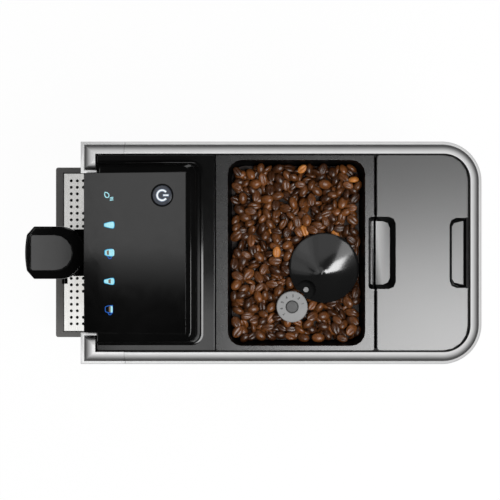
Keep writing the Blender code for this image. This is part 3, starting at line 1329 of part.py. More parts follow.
def make_dial():
    """The grind dial with its shaft, and the pinion that turns the burr carrier."""
    top = DIAL_BASE_Z + DIAL_HEIGHT
    edge = DIAL_EDGE
    profile = [
        (DIAL_SHAFT_RADIUS, chamber_top_z() - ARM_THICKNESS),
        (DIAL_SHAFT_RADIUS, DIAL_BASE_Z),
        (DIAL_RADIUS, DIAL_BASE_Z),
        (DIAL_RADIUS, top - edge),
        (DIAL_RADIUS - edge, top),
        (DIAL_HUB_RADIUS, top),
        (DIAL_HUB_RADIUS - edge, top - DIAL_HUB_DEPTH),
    ]
    dial = turned("grind_dial", profile, DIAL_X, DIAL_Y, "dial_grey", steps=2 * ROUND_STEPS)
    facing = DIAL_DIRECTION + math.pi + math.pi / PINION_TEETH
    outline = moved(gear_outline(PINION_TEETH, PINION_TEETH, facing), DIAL_X, DIAL_Y)
    pinion = prism("dial_pinion", outline, GEAR_BASE_Z, GEAR_TOP_Z, "inner_plastic")
    bore = circle(DIAL_X, DIAL_Y, DIAL_SHAFT_RADIUS + PINION_FIT)
    cut(pinion, prism("bore", bore, GEAR_BASE_Z - OVERRUN, GEAR_TOP_Z + OVERRUN))
    return [dial, pinion]


def brew_top_z():
    return DECK_TOP_Z + GAP + BREW_HEIGHT


def make_brew_unit():
    """The brewing unit: a frame with its fixed head, the chamber, and the piston that rises in it."""
    half, depth, wall = BREW_HALF_WIDTH, BREW_HALF_DEPTH, BREW_PLATE
    low_z, top_z = DECK_TOP_Z + GAP, brew_top_z()
    front, rear = BREW_Y - depth, BREW_Y + depth
    frame = box("brew_frame", (-half, front, low_z), (half, rear, top_z), "inner_plastic")
    chamber_top = top_z - CHAMBER_DROP
    chamber_low = chamber_top - CHAMBER_HEIGHT
    shelf_z = chamber_low + wall
    outer = CHAMBER_RADIUS + CHAMBER_WALL
    side, reach = half - wall, depth + OVERRUN
    hole = circle(0, BREW_Y, CHAMBER_RADIUS)
    cut(
        frame,
        box("upper", (-side, BREW_Y - reach, shelf_z), (side, BREW_Y + reach, top_z - wall)),
        box("lower", (-side, BREW_Y - reach, low_z + wall), (side, BREW_Y + reach, chamber_low)),
        prism("holes", hole, low_z - OVERRUN, shelf_z + OVERLAP),
    )
    radius = CHAMBER_RADIUS - PISTON_CLEARANCE
    head = [
        (radius, top_z - wall - BREW_HEAD_HEIGHT),
        (radius, top_z - wall - WALL),
        (outer, top_z - wall - WALL),
        (outer, top_z - OVERLAP),
    ]
    join(frame, turned("head", head, 0, BREW_Y))
    profile = [
        (CHAMBER_RADIUS, shelf_z + GAP),
        (CHAMBER_RADIUS, chamber_top),
        (outer, chamber_top),
        (outer, shelf_z + GAP),
    ]
    turned("brew_chamber", profile, 0, BREW_Y, "inner_plastic", True)
    piston_z = shelf_z + GAP
    piston = [
        (PISTON_ROD_RADIUS, piston_z - PISTON_ROD_LENGTH),
        (PISTON_ROD_RADIUS, piston_z),
        (radius, piston_z),
        (radius, piston_z + PISTON_HEIGHT),
    ]
    return [turned("brew_piston", piston, 0, BREW_Y, "satin_black")]


def water_axis_z():
    """The height of the pump's axis, on which the dock's outlet and the heater's inlet lie too."""
    return DECK_TOP_Z + GAP + PUMP_CRADLE_HALF


def pump_front_y():
    return TANK_FRONT_Y - 2 * PUMP_NOSE_LENGTH - PUMP_LENGTH - HOSE_DIAMETER


def heater_rear_y():
    return pump_front_y() - 2 * PUMP_NOSE_LENGTH - HOSE_DIAMETER


def make_water_path():
    """The pump, the heater and the hoses that join the tank's dock, both of them and the brew head."""
    z = water_axis_z()
    y = pump_front_y()
    rear = y + PUMP_LENGTH
    profile = [
        (PUMP_NOSE_RADIUS, y - PUMP_NOSE_LENGTH),
        (PUMP_NOSE_RADIUS, y),
        (PUMP_RADIUS, y),
        (PUMP_RADIUS, rear),
        (PUMP_NOSE_RADIUS, rear),
        (PUMP_NOSE_RADIUS, rear + PUMP_NOSE_LENGTH),
    ]
    turned_along_y("pump", profile, PUMP_X, z, "burr_steel")
    make_heater(z)
    tank_end = TANK_FRONT_Y - GAP
    hose("tank_hose", [(PUMP_X, tank_end, z), (PUMP_X, rear + PUMP_NOSE_LENGTH + GAP, z)])
    heater_in = heater_rear_y() + HEATER_PORT_LENGTH + GAP
    hose("pump_hose", [(PUMP_X, y - PUMP_NOSE_LENGTH - GAP, z), (PUMP_X, heater_in, z)])
    top_z = DECK_TOP_Z + GAP + HEATER_HEIGHT + HEATER_PORT_LENGTH + GAP
    heater_y = heater_rear_y() - HEATER_LENGTH / 2
    over_z = brew_top_z() + HOSE_DIAMETER * 2
    route = [
        (PUMP_X, heater_y, top_z),
        (PUMP_X, heater_y, top_z + HOSE_DIAMETER),
        (PUMP_X, heater_y, (top_z + over_z) / 2),
        (PUMP_X, heater_y - HOSE_DIAMETER, over_z),
        (PUMP_X / 2, (heater_y + BREW_Y) / 2, over_z + HOSE_DIAMETER),
        (0, BREW_Y, brew_top_z() + HOSE_DIAMETER),
        (0, BREW_Y, brew_top_z() + GAP),
    ]
    hose("brew_hose", route)


def make_heater(z):
    """The flow heater: a finned block with an inlet behind and an outlet on top."""
    half = HEATER_HALF_WIDTH
    rear = heater_rear_y()
    front = rear - HEATER_LENGTH
    low_z = DECK_TOP_Z + GAP
    top_z = low_z + HEATER_HEIGHT
    heater = box("flow_heater", (PUMP_X - half, front, low_z), (PUMP_X + half, rear, top_z), "burr_steel")
    pitch = HEATER_LENGTH / (HEATER_FINS + 1)
    slots = []
    for i in range(HEATER_FINS):
        middle = front + (i + 1) * pitch
        for side in (-1, 1):
            near, far = sorted((PUMP_X + side * (half - HEATER_FIN_DEPTH), PUMP_X + side * (half + OVERRUN)))
            low = (near, middle - pitch / 4, low_z + HEATER_FIN_DEPTH)
            slots.append(box("slot", low, (far, middle + pitch / 4, top_z - HEATER_FIN_DEPTH)))
    cut(heater, *slots)
    radius, reach = HEATER_PORT_RADIUS, HEATER_PORT_LENGTH
    steps = ROUND_STEPS // 2
    inlet = [(radius, rear - OVERLAP), (radius, rear + reach)]
    outlet = [(radius, top_z - OVERLAP), (radius, top_z + reach)]
    join(
        heater,
        turned_along_y("inlet", inlet, PUMP_X, z, steps=steps),
        turned("outlet", outlet, PUMP_X, (front + rear) / 2, steps=steps),
    )


def hose(name, route):
    """A round hose along a smooth curve through the points of its route, with straight ends."""
    bends = smooth(route[1:-1], HOSE_STEPS) if len(route) > 2 else []
    points = [route[0], *bends, route[-1]]
    curve = bpy.data.curves.new(name, "CURVE")
    curve.dimensions = "3D"
    curve.bevel_depth = HOSE_DIAMETER / 2
    curve.bevel_resolution = 2
    curve.use_fill_caps = True
    spline = curve.splines.new("POLY")
    spline.points.add(len(points) - 1)
    for target, point in zip(spline.points, points):
        target.co = (*point, 1.0)
    obj = bpy.data.objects.new(name, curve)
    bpy.context.scene.collection.objects.link(obj)
    curve.materials.append(MATERIALS["silicone"])
    return obj


def smooth(route, count):
    """Points evenly spread along a Catmull-Rom curve through the route."""
    ends = [Vector(route[0]) * 2 - Vector(route[1]), Vector(route[-1]) * 2 - Vector(route[-2])]
    nodes = [ends[0], *[Vector(p) for p in route], ends[1]]
    points = []
    for i in range(count + 1):
        at = i / count * (len(route) - 1)
        k = min(int(at), len(route) - 2)
        t = at - k
        a, b, c, d = nodes[k : k + 4]
        points.append(
            (2 * b + (c - a) * t + (2 * a - 5 * b + 4 * c - d) * t**2 + (3 * b - a - 3 * c + d) * t**3) / 2
        )
    return points


def make_power_board():
    """The mains board, which stands along the right side of the housing on its foot."""
    x = HALF_WIDTH - PANEL_OFFSET - BOARD_FROM_SIDE
    y = TANK_FRONT_Y - BOARD_FROM_TANK - BOARD_WIDTH
    z = DECK_TOP_Z + GAP
    high = (x + BOARD_THICKNESS, y + BOARD_WIDTH, z + BOARD_HEIGHT)
    board = box("power_board", (x, y, z), high, "board_green")
    size, rise = RELAY_SIZE, SUPPLY_HEIGHT
    face_x = x + BOARD_THICKNESS / 2
    join(
        board,
        box("foot", (x - BOARD_FOOT, y, z), (face_x, y + BOARD_WIDTH, z + BOARD_THICKNESS)),
        box("relay", (x - size, y + size, z + size * 2), (face_x, y + size * 2, z + size * 3)),
        box("supply", (x - size, y + size * 3, z + size), (face_x, y + size * 4, z + size + rise)),
    )


def tank_plan(offset, draft):
    """The tank in plan, inside the liner, at a further inward offset and a draft towards its foot."""
    half = TANK_HALF_WIDTH - offset - draft
    front, rear = TANK_FRONT_Y + offset + draft, TANK_REAR_Y - offset - draft
    return rounded_rect(-half, half, front, rear, TANK_FRONT_CORNER, TANK_REAR_CORNER)


def make_tank():
    """The water tank, which lifts out through the top, its valve and the dock that it stands on."""
    floor = TANK_Z + TANK_WALL
    rings = [
        at_height(tank_plan(TANK_WALL, TANK_DRAFT), floor),
        at_height(tank_plan(TANK_WALL, 0.0), TANK_TOP_Z),
        at_height(tank_plan(0.0, 0.0), TANK_TOP_Z),
        at_height(tank_plan(0.0, TANK_DRAFT), TANK_Z),
    ]
    tank = loft("water_tank", rings, "smoke_plastic")
    y = (TANK_FRONT_Y + TANK_REAR_Y) / 2
    cut(tank, prism("hole", circle(VALVE_X, y, VALVE_RADIUS + GAP), TANK_Z - OVERRUN, floor + OVERRUN))
    collar = floor + GAP
    profile = [
        (VALVE_BORE, collar),
        (VALVE_BORE, TANK_Z - VALVE_REACH),
        (VALVE_RADIUS, TANK_Z - VALVE_REACH),
        (VALVE_RADIUS, collar),
        (VALVE_COLLAR_RADIUS, collar),
        (VALVE_COLLAR_RADIUS, collar + VALVE_COLLAR_HEIGHT),
        (VALVE_BORE, collar + VALVE_COLLAR_HEIGHT * 2),
    ]
    valve = turned("tank_valve", profile, VALVE_X, y, "satin_black")
    make_dock(y)
    return [tank, valve]


def lid_plan(inset):
    half = HALF_WIDTH - COVER_OFFSET - inset
    front, rear = LID_FRONT_Y + inset, LID_REAR_Y - inset
    radius = CORNER_RADIUS - RAIL_WIDTH - LID_REAR_GAP - inset
    return rounded_rect(-half, half, front, rear, LID_FRONT_CORNER, radius)


def make_lid():
    """The tank's lid, with a finger pocket at its front and one at its rear edge, and a skirt below."""
    lid = plate("tank_lid", lid_plan, COVER_BASE_Z, COVER_TOP_Z, "graphite")
    skirt_low, skirt_top = TANK_TOP_Z + GAP, COVER_BASE_Z + OVERLAP
    outer, inner = tank_plan(0.0, 0.0), tank_plan(TANK_WALL, 0.0)
    rings = [
        at_height(inner, skirt_low),
        at_height(inner, skirt_top),
        at_height(outer, skirt_top),
        at_height(outer, skirt_low),
    ]
    skirt = loft("skirt", rings, closed=True)
    halves = (POCKET_HALF_WIDTH, POCKET_FLOOR_HALF)
    reaches = (FRONT_POCKET_REACH, FRONT_POCKET_FLOOR_REACH)
    front_space, front_shell = pocket_pair(LID_FRONT_Y, halves, reaches, POCKET_DEPTH)
    halves = (REAR_POCKET_HALF_WIDTH, REAR_POCKET_FLOOR_HALF)
    reaches = (-REAR_POCKET_REACH, -REAR_POCKET_FLOOR_REACH)
    rear_space, rear_shell = pocket_pair(LID_REAR_Y, halves, reaches, REAR_POCKET_DEPTH)
    join(lid, skirt, front_shell, rear_shell)
    slots = []
    wide = REAR_POCKET_HALF_WIDTH + POCKET_SHELL + OVERLAP
    for half, top_z in ((REAR_POCKET_HALF_WIDTH, COVER_TOP_Z + OVERRUN), (wide, COVER_BASE_Z)):
        slot_low = (-half, TANK_REAR_Y + GAP, TANK_TOP_Z)
        slots.append(box("slot", slot_low, (half, LID_REAR_Y + OVERRUN, top_z)))
    cut(lid, front_space, rear_space, *slots)
    return [lid]


def panel_top_z():
    return RAIL_BASE_Z - GAP


def side_rear_y():
    return REAR_Y - CORNER_RADIUS - REAR_RETURN


def make_left_panel():
    """The left side panel, with air slots beside the heater."""
    low = (-HALF_WIDTH, CAP_REAR_Y, BASE_Z)
    high = (-HALF_WIDTH + WALL, side_rear_y() - GAP, panel_top_z())
    panel = box("side_panel_left", low, high, "satin_black")
    middle = heater_rear_y() - HEATER_LENGTH / 2
    z = DECK_TOP_Z + GAP + HEATER_HEIGHT + VENT_ABOVE_HEATER
    slots = []
    for i in range(VENT_COUNT):
        foot = z + i * VENT_PITCH
        slot_low = (-HALF_WIDTH - OVERRUN, middle - VENT_LENGTH / 2, foot)
        slot_high = (-HALF_WIDTH + WALL + OVERRUN, middle + VENT_LENGTH / 2, foot + VENT_HEIGHT)
        slots.append(box("vent", slot_low, slot_high))
    cut(panel, *slots)


def make_right_panel():
    """The right side panel and the service door in it, which turns on two pins at its rear edge."""
    inner_x = HALF_WIDTH - WALL
    high = (HALF_WIDTH, side_rear_y() - GAP, panel_top_z())
    panel = box("side_panel_right", (inner_x, CAP_REAR_Y, BASE_Z), high, "satin_black")
    front = CAP_REAR_Y + DOOR_FRONT_MARGIN
    rear = front + DOOR_LENGTH
    door_z = (BASE_Z + panel_top_z()) / 2 + DOOR_RISE
    z_low, z_high = door_z - DOOR_HEIGHT / 2, door_z + DOOR_HEIGHT / 2
    edge = WALL / 2
    axis_x, axis_y = HALF_WIDTH - edge, rear - DOOR_GAP - edge
    hole = circle(axis_x, axis_y, PIN_RADIUS + PIN_CLEARANCE, ROUND_STEPS)
    cut(
        panel,
        box("opening", (inner_x - OVERRUN, front, z_low), (HALF_WIDTH + OVERRUN, rear, z_high)),
        prism("pin_hole", hole, z_low - PIN_LENGTH, z_high + PIN_LENGTH),
    )
    steps = 2 * CORNER_STEPS
    turns = [math.pi * (0.5 - i / steps) * -1 for i in range(steps + 1)]
    nose = [(axis_x - edge * math.sin(a), axis_y + edge * math.cos(a)) for a in turns]
    outline = [*nose, (inner_x, front + DOOR_GAP), (HALF_WIDTH, front + DOOR_GAP)]
    low_edge, high_edge = z_low + DOOR_GAP, z_high - DOOR_GAP
    door = prism("service_door", outline, low_edge, high_edge, "satin_black")
    middle_z = (z_low + z_high) / 2
    notch_low = (HALF_WIDTH - edge, front, middle_z - DOOR_NOTCH_HALF)
    notch_high = (HALF_WIDTH + OVERRUN, front + DOOR_GAP + DOOR_NOTCH_DEPTH, middle_z + DOOR_NOTCH_HALF)
    cut(door, box("notch", notch_low, notch_high))
    pins = []
    spans = (
        (low_edge - PIN_LENGTH, low_edge + OVERLAP),
        (high_edge - OVERLAP, high_edge + PIN_LENGTH),
    )
    for span in spans:
        pins.append(turned("pin", [(PIN_RADIUS, z) for z in span], axis_x, axis_y, steps=ROUND_STEPS // 2))
    latch_y = front + DOOR_GAP + DOOR_NOTCH_DEPTH + OVERLAP
    latch_low = (inner_x - LATCH_THICKNESS, latch_y, middle_z - LATCH_HALF_HEIGHT)
    latch_high = (inner_x + OVERLAP, latch_y + LATCH_LENGTH, middle_z + LATCH_HALF_HEIGHT)
    join(door, *pins, box("latch", latch_low, latch_high))
    return [door], (axis_x, axis_y, middle_z)


def make_rear_panel():
    """The wrap-round rear panel, with the hole of the mains inlet and switch."""
    profile = [(0, BASE_Z), (0, panel_top_z()), (WALL, panel_top_z()), (WALL, BASE_Z)]
    panel = swept("rear_panel", profile, side_rear_y(), "satin_black")
    low, high = entry_corners(GAP)
    cut(panel, box("entry", (low[0], low[1], low[2]), (high[0], REAR_Y + OVERRUN, high[2])))


def face_prism(name, outline, y_low, y_high, finish=None):
    """Extrudes an outline of (x, z) points along Y."""
    return loft(name, [[(x, y, z) for x, z in outline] for y in (y_low, y_high)], finish)


def make_switch():
    """The rocker of the mains switch: its upper half stands out, and goes in as the lower comes out."""
    half = SWITCH_HALF_WIDTH - GAP
    tall, face = ROCKER_HALF_HEIGHT, ROCKER_FACE_HEIGHT
    rise = tall * math.sin(ROCKER_TURN)
    y, z = REAR_Y - GAP - rise - face, INLET_Z
    outline = [
        (y + face, z - tall),
        (y + face, z),
        (y + face + rise, z + tall * math.cos(ROCKER_TURN)),
        (y - ROCKER_DEPTH, z + ROCKER_BACK_HALF),
        (y - ROCKER_DEPTH, z - ROCKER_BACK_HALF),
    ]
    rocker = side_prism("mains_switch", outline, SWITCH_X - half, SWITCH_X + half, "satin_black")
    return [rocker], (SWITCH_X, y, z)


def set_origin(obj, point):
    """Moves a piece's origin to a point of the model, leaving its shape where it is."""
    place = obj.matrix_world.copy()
    place.translation = Vector(point)
    shift = place.inverted() @ obj.matrix_world
    obj.data.transform(shift)
    obj.matrix_world = place


def moving_group(name, point, pieces):
    """An empty on the joint's axis, which the pieces that move together hang on."""
    empty = bpy.data.objects.new(name, None)
    bpy.context.scene.collection.objects.link(empty)
    empty.location = point
    bpy.context.view_layer.update()
    for piece in pieces:
        set_origin(piece, point)
        piece.parent = empty
        piece.matrix_parent_inverse = empty.matrix_world.inverted()


def seat_origins():
    """Puts the origin of each piece that doesn't move at the middle of its own foot."""
    for obj in list(bpy.context.scene.objects):
        if obj.type != "MESH" or obj.parent or obj.matrix_world != Matrix.Identity(4):
            continue
        corners = [Vector(c) for c in obj.bound_box]
        low = Vector(map(min, zip(*corners)))
        high = Vector(map(max, zip(*corners)))
        set_origin(obj, ((low.x + high.x) / 2, (low.y + high.y) / 2, low.z))


def shade():
    for obj in bpy.context.scene.objects:
        if obj.type == "MESH":
            obj.data.shade_smooth()
            obj.data.set_sharp_from_angle(angle=SHARP_ANGLE)


def plate(name, outline, z_low, z_high, finish):
    """A flat cover with its upper edge chamfered. The outline is a function of its inset."""
    rings = [
        at_height(outline(0.0), z_low),
        at_height(outline(0.0), z_high - COVER_EDGE),
        at_height(outline(COVER_EDGE), z_high),
    ]
    return loft(name, rings, finish)


def rounded_edge(outline, z_high, radius, steps=2):
    """Rings that round an upper edge over. The outline is a function of its inset."""
    angles = [i * math.pi / 2 / steps for i in range(steps + 1)]
    return [
        at_height(outline(radius * (1 - math.cos(a))), z_high - radius * (1 - math.sin(a)))
        for a in angles
    ]


def guide_slot(y_low, y_high):
    """The space of the upright slot that the coffee hose runs in, through the fascia and the guide."""
    top = FASCIA_TOP_Z - GUIDE_TOP_DROP
    low = (-GUIDE_SLOT_HALF, y_low, top - GUIDE_HEIGHT + GUIDE_SLOT_MARGIN)
    return box("slot", low, (GUIDE_SLOT_HALF, y_high, top - GUIDE_SLOT_MARGIN))


def make_nozzle(x, body_base):
    """One of the two coffee outlets, still without its bore."""
    profile = [
        (NOZZLE_TIP_RADIUS, body_base - NOZZLE_HEIGHT),
        (NOZZLE_RADIUS, body_base),
        (NOZZLE_RADIUS, body_base + NOZZLE_SOCKET - GAP),
    ]
    return turned("nozzle_block", profile, x, SPOUT_ROUND_Y, "satin_black", steps=ROUND_STEPS // 2)


def milk_port_shapes(z):
    """The hose nipple on the user's right of the spout, and its blind bore."""
    shapes = []
    for radius, reach in ((MILK_PORT_RADIUS, 0.0), (MILK_PORT_BORE, OVERRUN)):
        span = (SPOUT_HALF_WIDTH / 2 + OVERRUN, SPOUT_HALF_WIDTH + MILK_PORT_REACH + reach)
        plan = circle(SPOUT_ROUND_Y, z, radius, ROUND_STEPS // 2)
        shapes.append(loft("port", [[(x, y, pz) for y, pz in plan] for x in span]))
    return shapes


def panel_rear_y():
    return PANEL_FRONT_Y + PANEL_LENGTH * math.cos(PANEL_SLOPE)


def console_hollow(seat_floor):
    """The space under the panel's seat, open at the foot of the console."""
    front, rear = PANEL_FRONT_Y + CONSOLE_SHELL, panel_rear_y()
    drop = seat_floor - CONSOLE_SHELL
    outline = [
        (front, FASCIA_TOP_Z - OVERRUN),
        (rear, FASCIA_TOP_Z - OVERRUN),
        (rear, slope_height(rear) + drop),
        (front, slope_height(front) + drop),
    ]
    half = PANEL_HALF_WIDTH - CONSOLE_SHELL
    return side_prism("hollow", outline, -half, half)


def cover_plan(front, rear):
    """A top cover in plan between two seams, as a function of its inset."""

    def plan(inset):
        half = HALF_WIDTH - COVER_OFFSET - inset
        return rounded_rect(-half, half, front + inset, rear - inset, COVER_CORNER, steps=2)

    return plan


def hopper_levels(inset):
    """The inside of the hopper from its throat up, drawn in or grown by an inset."""
    shoulder_z = HOPPER_TOP_Z - HOPPER_SHOULDER_DROP
    return [
        at_height(throat_outline(-inset), HOPPER_FLOOR_Z),
        at_height(hopper_outline(HOPPER_SHOULDER_INSET + inset), shoulder_z),
        at_height(hopper_outline(inset), HOPPER_TOP_Z),
    ]


def guard_shape(low_z):
    """The windowed ring over the burrs, which keeps fingers out and carries the cone."""
    inner = NECK_RADIUS - NECK_WALL
    flange = NECK_RADIUS + NECK_WALL
    rim = THROAT_HALF + HOPPER_WALL / 2
    profile = [
        (inner, low_z),
        (inner, NECK_TOP_Z),
        (flange, NECK_TOP_Z),
        (flange, NECK_TOP_Z - NECK_WALL),
        (NECK_RADIUS, NECK_TOP_Z - NECK_WALL),
        (NECK_RADIUS, HOPPER_FLOOR_Z),
        (rim, HOPPER_FLOOR_Z),
        (rim, low_z + NECK_FOOT_RISE),
    ]
    guard = turned("guard", profile, GRINDER_X, GRINDER_Y, None, True)
    half, reach = NECK_WINDOW_HALF, flange + OVERRUN
    z_low, z_high = HOPPER_FLOOR_Z + NECK_FOOT_RISE, NECK_TOP_Z - NECK_WALL * 2
    spans = ((reach, half), (half, reach))
    windows = []
    for dx, dy in spans:
        low = (GRINDER_X - dx, GRINDER_Y - dy, z_low)
        windows.append(box("window", low, (GRINDER_X + dx, GRINDER_Y + dy, z_high)))
    return cut(guard, *windows)


def carrier_skirt_radius():
    return UPPER_BURR_RADIUS + GAP + CARRIER_SKIRT_WALL


def lower_burr_base_z():
    return GEAR_TOP_Z - GEAR_WIDTH / 3 - UPPER_BURR_HEIGHT - LOWER_BURR_DROP


def drive_shaft_base_z():
    return lower_burr_base_z() - DRIVE_SHAFT_LENGTH


def chamber_top_z():
    return GEAR_BASE_Z - SLIDE_CLEARANCE


def chamber_floor_z():
    return chamber_top_z() - GRIND_CHAMBER_HEIGHT


def chamber_radius():
    """The chamber's outer radius, round the carrier's skirt."""
    return carrier_skirt_radius() + SLIDE_CLEARANCE + GRIND_CHAMBER_WALL


def gearbox_base_z():
    return chamber_floor_z() - GAP - GEARBOX_HEIGHT


def make_motor():
    """The grinder's gearbox, whose bore takes the drive shaft, and the motor under it."""
    x, y = GRINDER_X, GRINDER_Y
    top_z, low_z = chamber_floor_z() - GAP, gearbox_base_z()
    bore = DRIVE_SHAFT_RADIUS + SLIDE_CLEARANCE
    profile = [
        (GEARBOX_NOSE_RADIUS, low_z),
        (GEARBOX_RADIUS, low_z + GEARBOX_HEIGHT / 3),
        (GEARBOX_RADIUS, top_z),
        (bore, top_z),
        (bore, drive_shaft_base_z() - GAP),
    ]
    turned("gearbox", profile, x, y, "satin_black")
    motor_top = low_z - GAP
    rings = [
        (MOTOR_CAP_RADIUS, motor_top - MOTOR_HEIGHT - MOTOR_CAP_HEIGHT),
        (MOTOR_CAP_RADIUS, motor_top - MOTOR_HEIGHT),
        (MOTOR_RADIUS, motor_top - MOTOR_HEIGHT),
        (MOTOR_RADIUS, motor_top),
    ]
    turned("grinder_motor", rings, x, y, "burr_steel")


def make_dock(y):
    """The dock under the tank, with the socket of its valve, the seal and the outlet to the pump."""
    dock_low, dock_top = DECK_TOP_Z + GAP, TANK_Z - GAP
    dock = prism("tank_dock", tank_plan(DOCK_INSET, 0.0), dock_low, dock_top, "inner_plastic")
    nose = [(PUMP_NOSE_RADIUS, TANK_FRONT_Y), (PUMP_NOSE_RADIUS, TANK_FRONT_Y + DOCK_INSET + OVERLAP)]
    join(dock, turned_along_y("nose", nose, PUMP_X, water_axis_z(), steps=ROUND_STEPS // 2))
    floor_z = dock_top - VALVE_REACH - WALL
    inner = VALVE_RADIUS + GAP
    outer = inner + SEAL_THICKNESS
    cut(dock, prism("socket", circle(VALVE_X, y, outer + GAP), floor_z, dock_top + OVERRUN))
    low_z = floor_z + GAP
    high_z = low_z + SEAL_HEIGHT
    seal = [(inner, low_z), (inner, high_z), (outer, high_z), (outer, low_z)]
    turned("dock_seal", seal, VALVE_X, y, "rubber", True)


def entry_corners(grow):
    """Two opposite corners of the mains inlet and switch block, grown by a clearance."""
    wall = ENTRY_WALL + grow
    high = max(INLET_HALF_HEIGHT, SWITCH_HALF_HEIGHT) + wall
    rear = REAR_Y - GAP
    low = (SWITCH_X - SWITCH_HALF_WIDTH - wall, rear - INLET_DEPTH - wall, INLET_Z - high)
    return low, (INLET_X + INLET_HALF_WIDTH + wall, rear, INLET_Z + high)


def make_power_entry():
    """The mains inlet with its three blades, and beside it the well of the rocker switch."""
    low, high = entry_corners(0.0)
    rear = high[1]
    entry = box("power_entry", low, high, "satin_black")
    x, z = INLET_X, INLET_Z
    half, tall = INLET_HALF_WIDTH, INLET_HALF_HEIGHT
    cant = INLET_CORNER
    well = [
        (x - half, z - tall),
        (x + half, z - tall),
        (x + half, z + tall - cant),
        (x + half - cant, z + tall),
        (x - half + cant, z + tall),
        (x - half, z + tall - cant),
    ]
    switch_low = (SWITCH_X - SWITCH_HALF_WIDTH, rear - SWITCH_WELL_DEPTH, z - SWITCH_HALF_HEIGHT)
    switch_high = (SWITCH_X + SWITCH_HALF_WIDTH, rear + OVERRUN, z + SWITCH_HALF_HEIGHT)
    floor_y = rear - INLET_DEPTH
    cut(
        entry,
        face_prism("well", well, floor_y, rear + OVERRUN),
        box("switch_well", switch_low, switch_high),
    )
    blades = []
    for i in (-1, 0, 1):
        bx = x + i * INLET_PIN_SPACING
        bz = z + (INLET_PIN_HEIGHT if i == 0 else -INLET_PIN_HEIGHT / 2)
        blade_low = (bx - INLET_PIN_HALF, floor_y - OVERLAP, bz - INLET_PIN_HEIGHT)
        blades.append(box("blade", blade_low, (bx + INLET_PIN_HALF, rear - WALL, bz + INLET_PIN_HEIGHT)))
    join(entry, *blades)


def main():
    make_rail()
    make_corner_caps()
    make_pillars()
    make_base()
    make_feet()
    make_deck()
    make_tray()
    make_grid()
    make_bin()
    make_fascia()
    make_guide()
    spout = make_spout()
    button = make_console()
    make_covers()
    make_hopper()
    make_cone()
    make_beans()
    carrier, rotor = make_grinder()
    dial = make_dial()
    piston = make_brew_unit()
    make_water_path()
    make_power_board()
    tank = make_tank()
    lid = make_lid()
    make_left_panel()
    door, door_axis = make_right_panel()
    make_rear_panel()
    make_power_entry()
    rocker, rocker_axis = make_switch()
    bpy.context.view_layer.update()
    tray = [bpy.data.objects[name] for name in ("drip_tray", "grounds_bin")]
    grid = [bpy.data.objects["drip_grid"]]
    moving_group("tray_slide", (0, TRAY_FRONT_Y, TRAY_Z), tray)
    moving_group("grid_lift", (0, TRAY_FRONT_Y, TRAY_TOP_Z), grid)
    moving_group("spout_slide", (0, FASCIA_Y, SPOUT_TOP_Z), spout)
    moving_group("dial_turn", (DIAL_X, DIAL_Y, DIAL_BASE_Z), dial)
    moving_group("carrier_turn", (GRINDER_X, GRINDER_Y, GEAR_BASE_Z), carrier)
    moving_group("burr_spin", (GRINDER_X, GRINDER_Y, HOPPER_FLOOR_Z), rotor)
    moving_group("piston_slide", (0, BREW_Y, DECK_TOP_Z), piston)
    moving_group("tank_lift", (0, TANK_FRONT_Y, TANK_Z), tank)
    moving_group("lid_lift", (0, LID_FRONT_Y, COVER_TOP_Z), lid)
    moving_group("door_swing", door_axis, door)
    moving_group("switch_rock", rocker_axis, rocker)
    moving_group("button_press", button.matrix_world.translation.copy(), [button])
    seat_origins()
    shade()


for old in list(bpy.data.objects):
    bpy.data.objects.remove(old)
MATERIALS = make_materials()
main()
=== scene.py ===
"""The looks of the bean to cup coffee machine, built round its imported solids."""

import json
import math
import random

import bmesh
import bpy
import numpy as np
from mathutils import Matrix, Vector
from mathutils.bvhtree import BVHTree


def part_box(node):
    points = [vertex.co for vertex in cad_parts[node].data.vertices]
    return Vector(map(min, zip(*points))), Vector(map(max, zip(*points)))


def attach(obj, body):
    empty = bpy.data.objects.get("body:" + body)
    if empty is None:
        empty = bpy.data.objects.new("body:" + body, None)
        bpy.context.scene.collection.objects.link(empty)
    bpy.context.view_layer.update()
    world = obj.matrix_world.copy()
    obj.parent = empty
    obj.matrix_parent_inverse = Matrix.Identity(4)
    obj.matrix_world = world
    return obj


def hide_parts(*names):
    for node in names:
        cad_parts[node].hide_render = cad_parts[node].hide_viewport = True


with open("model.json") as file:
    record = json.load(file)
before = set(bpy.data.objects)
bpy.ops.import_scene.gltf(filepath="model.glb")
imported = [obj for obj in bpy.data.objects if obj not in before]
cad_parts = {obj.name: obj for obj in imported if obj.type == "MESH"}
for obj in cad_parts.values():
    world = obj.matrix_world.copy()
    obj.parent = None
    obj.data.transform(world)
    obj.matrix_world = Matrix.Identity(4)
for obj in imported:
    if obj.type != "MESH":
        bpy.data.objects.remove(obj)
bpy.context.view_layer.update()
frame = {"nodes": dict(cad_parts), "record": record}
NODES = frame["nodes"]
BODY_OF = {
    node: body
    for body, members in frame["record"]["behaviour"]["bodies"].items()
    for node in members
}
MM = 0.001

# Places in the frame, in millimetres, as in the source of the solids
GRINDER = (15.3, 77.6)
DIAL = (54.368, 44.818)
SCREW = (37.28, 59.16)
APEX = (21.5, 73.2)
CONE_BASE_Z = 312.3
PANEL_SLOPE = math.asin(18.0 / 104.5)
PANEL_FRONT = (-163.9, 329.0)


# ---------------------------------------------------------------- materials
def start_material(name):
    material = bpy.data.materials.new(name)
    material.use_nodes = True
    tree = material.node_tree
    tree.nodes.clear()
    out = tree.nodes.new("ShaderNodeOutputMaterial")
    shader = tree.nodes.new("ShaderNodeBsdfPrincipled")
    tree.links.new(shader.outputs["BSDF"], out.inputs["Surface"])
    return material, tree, shader


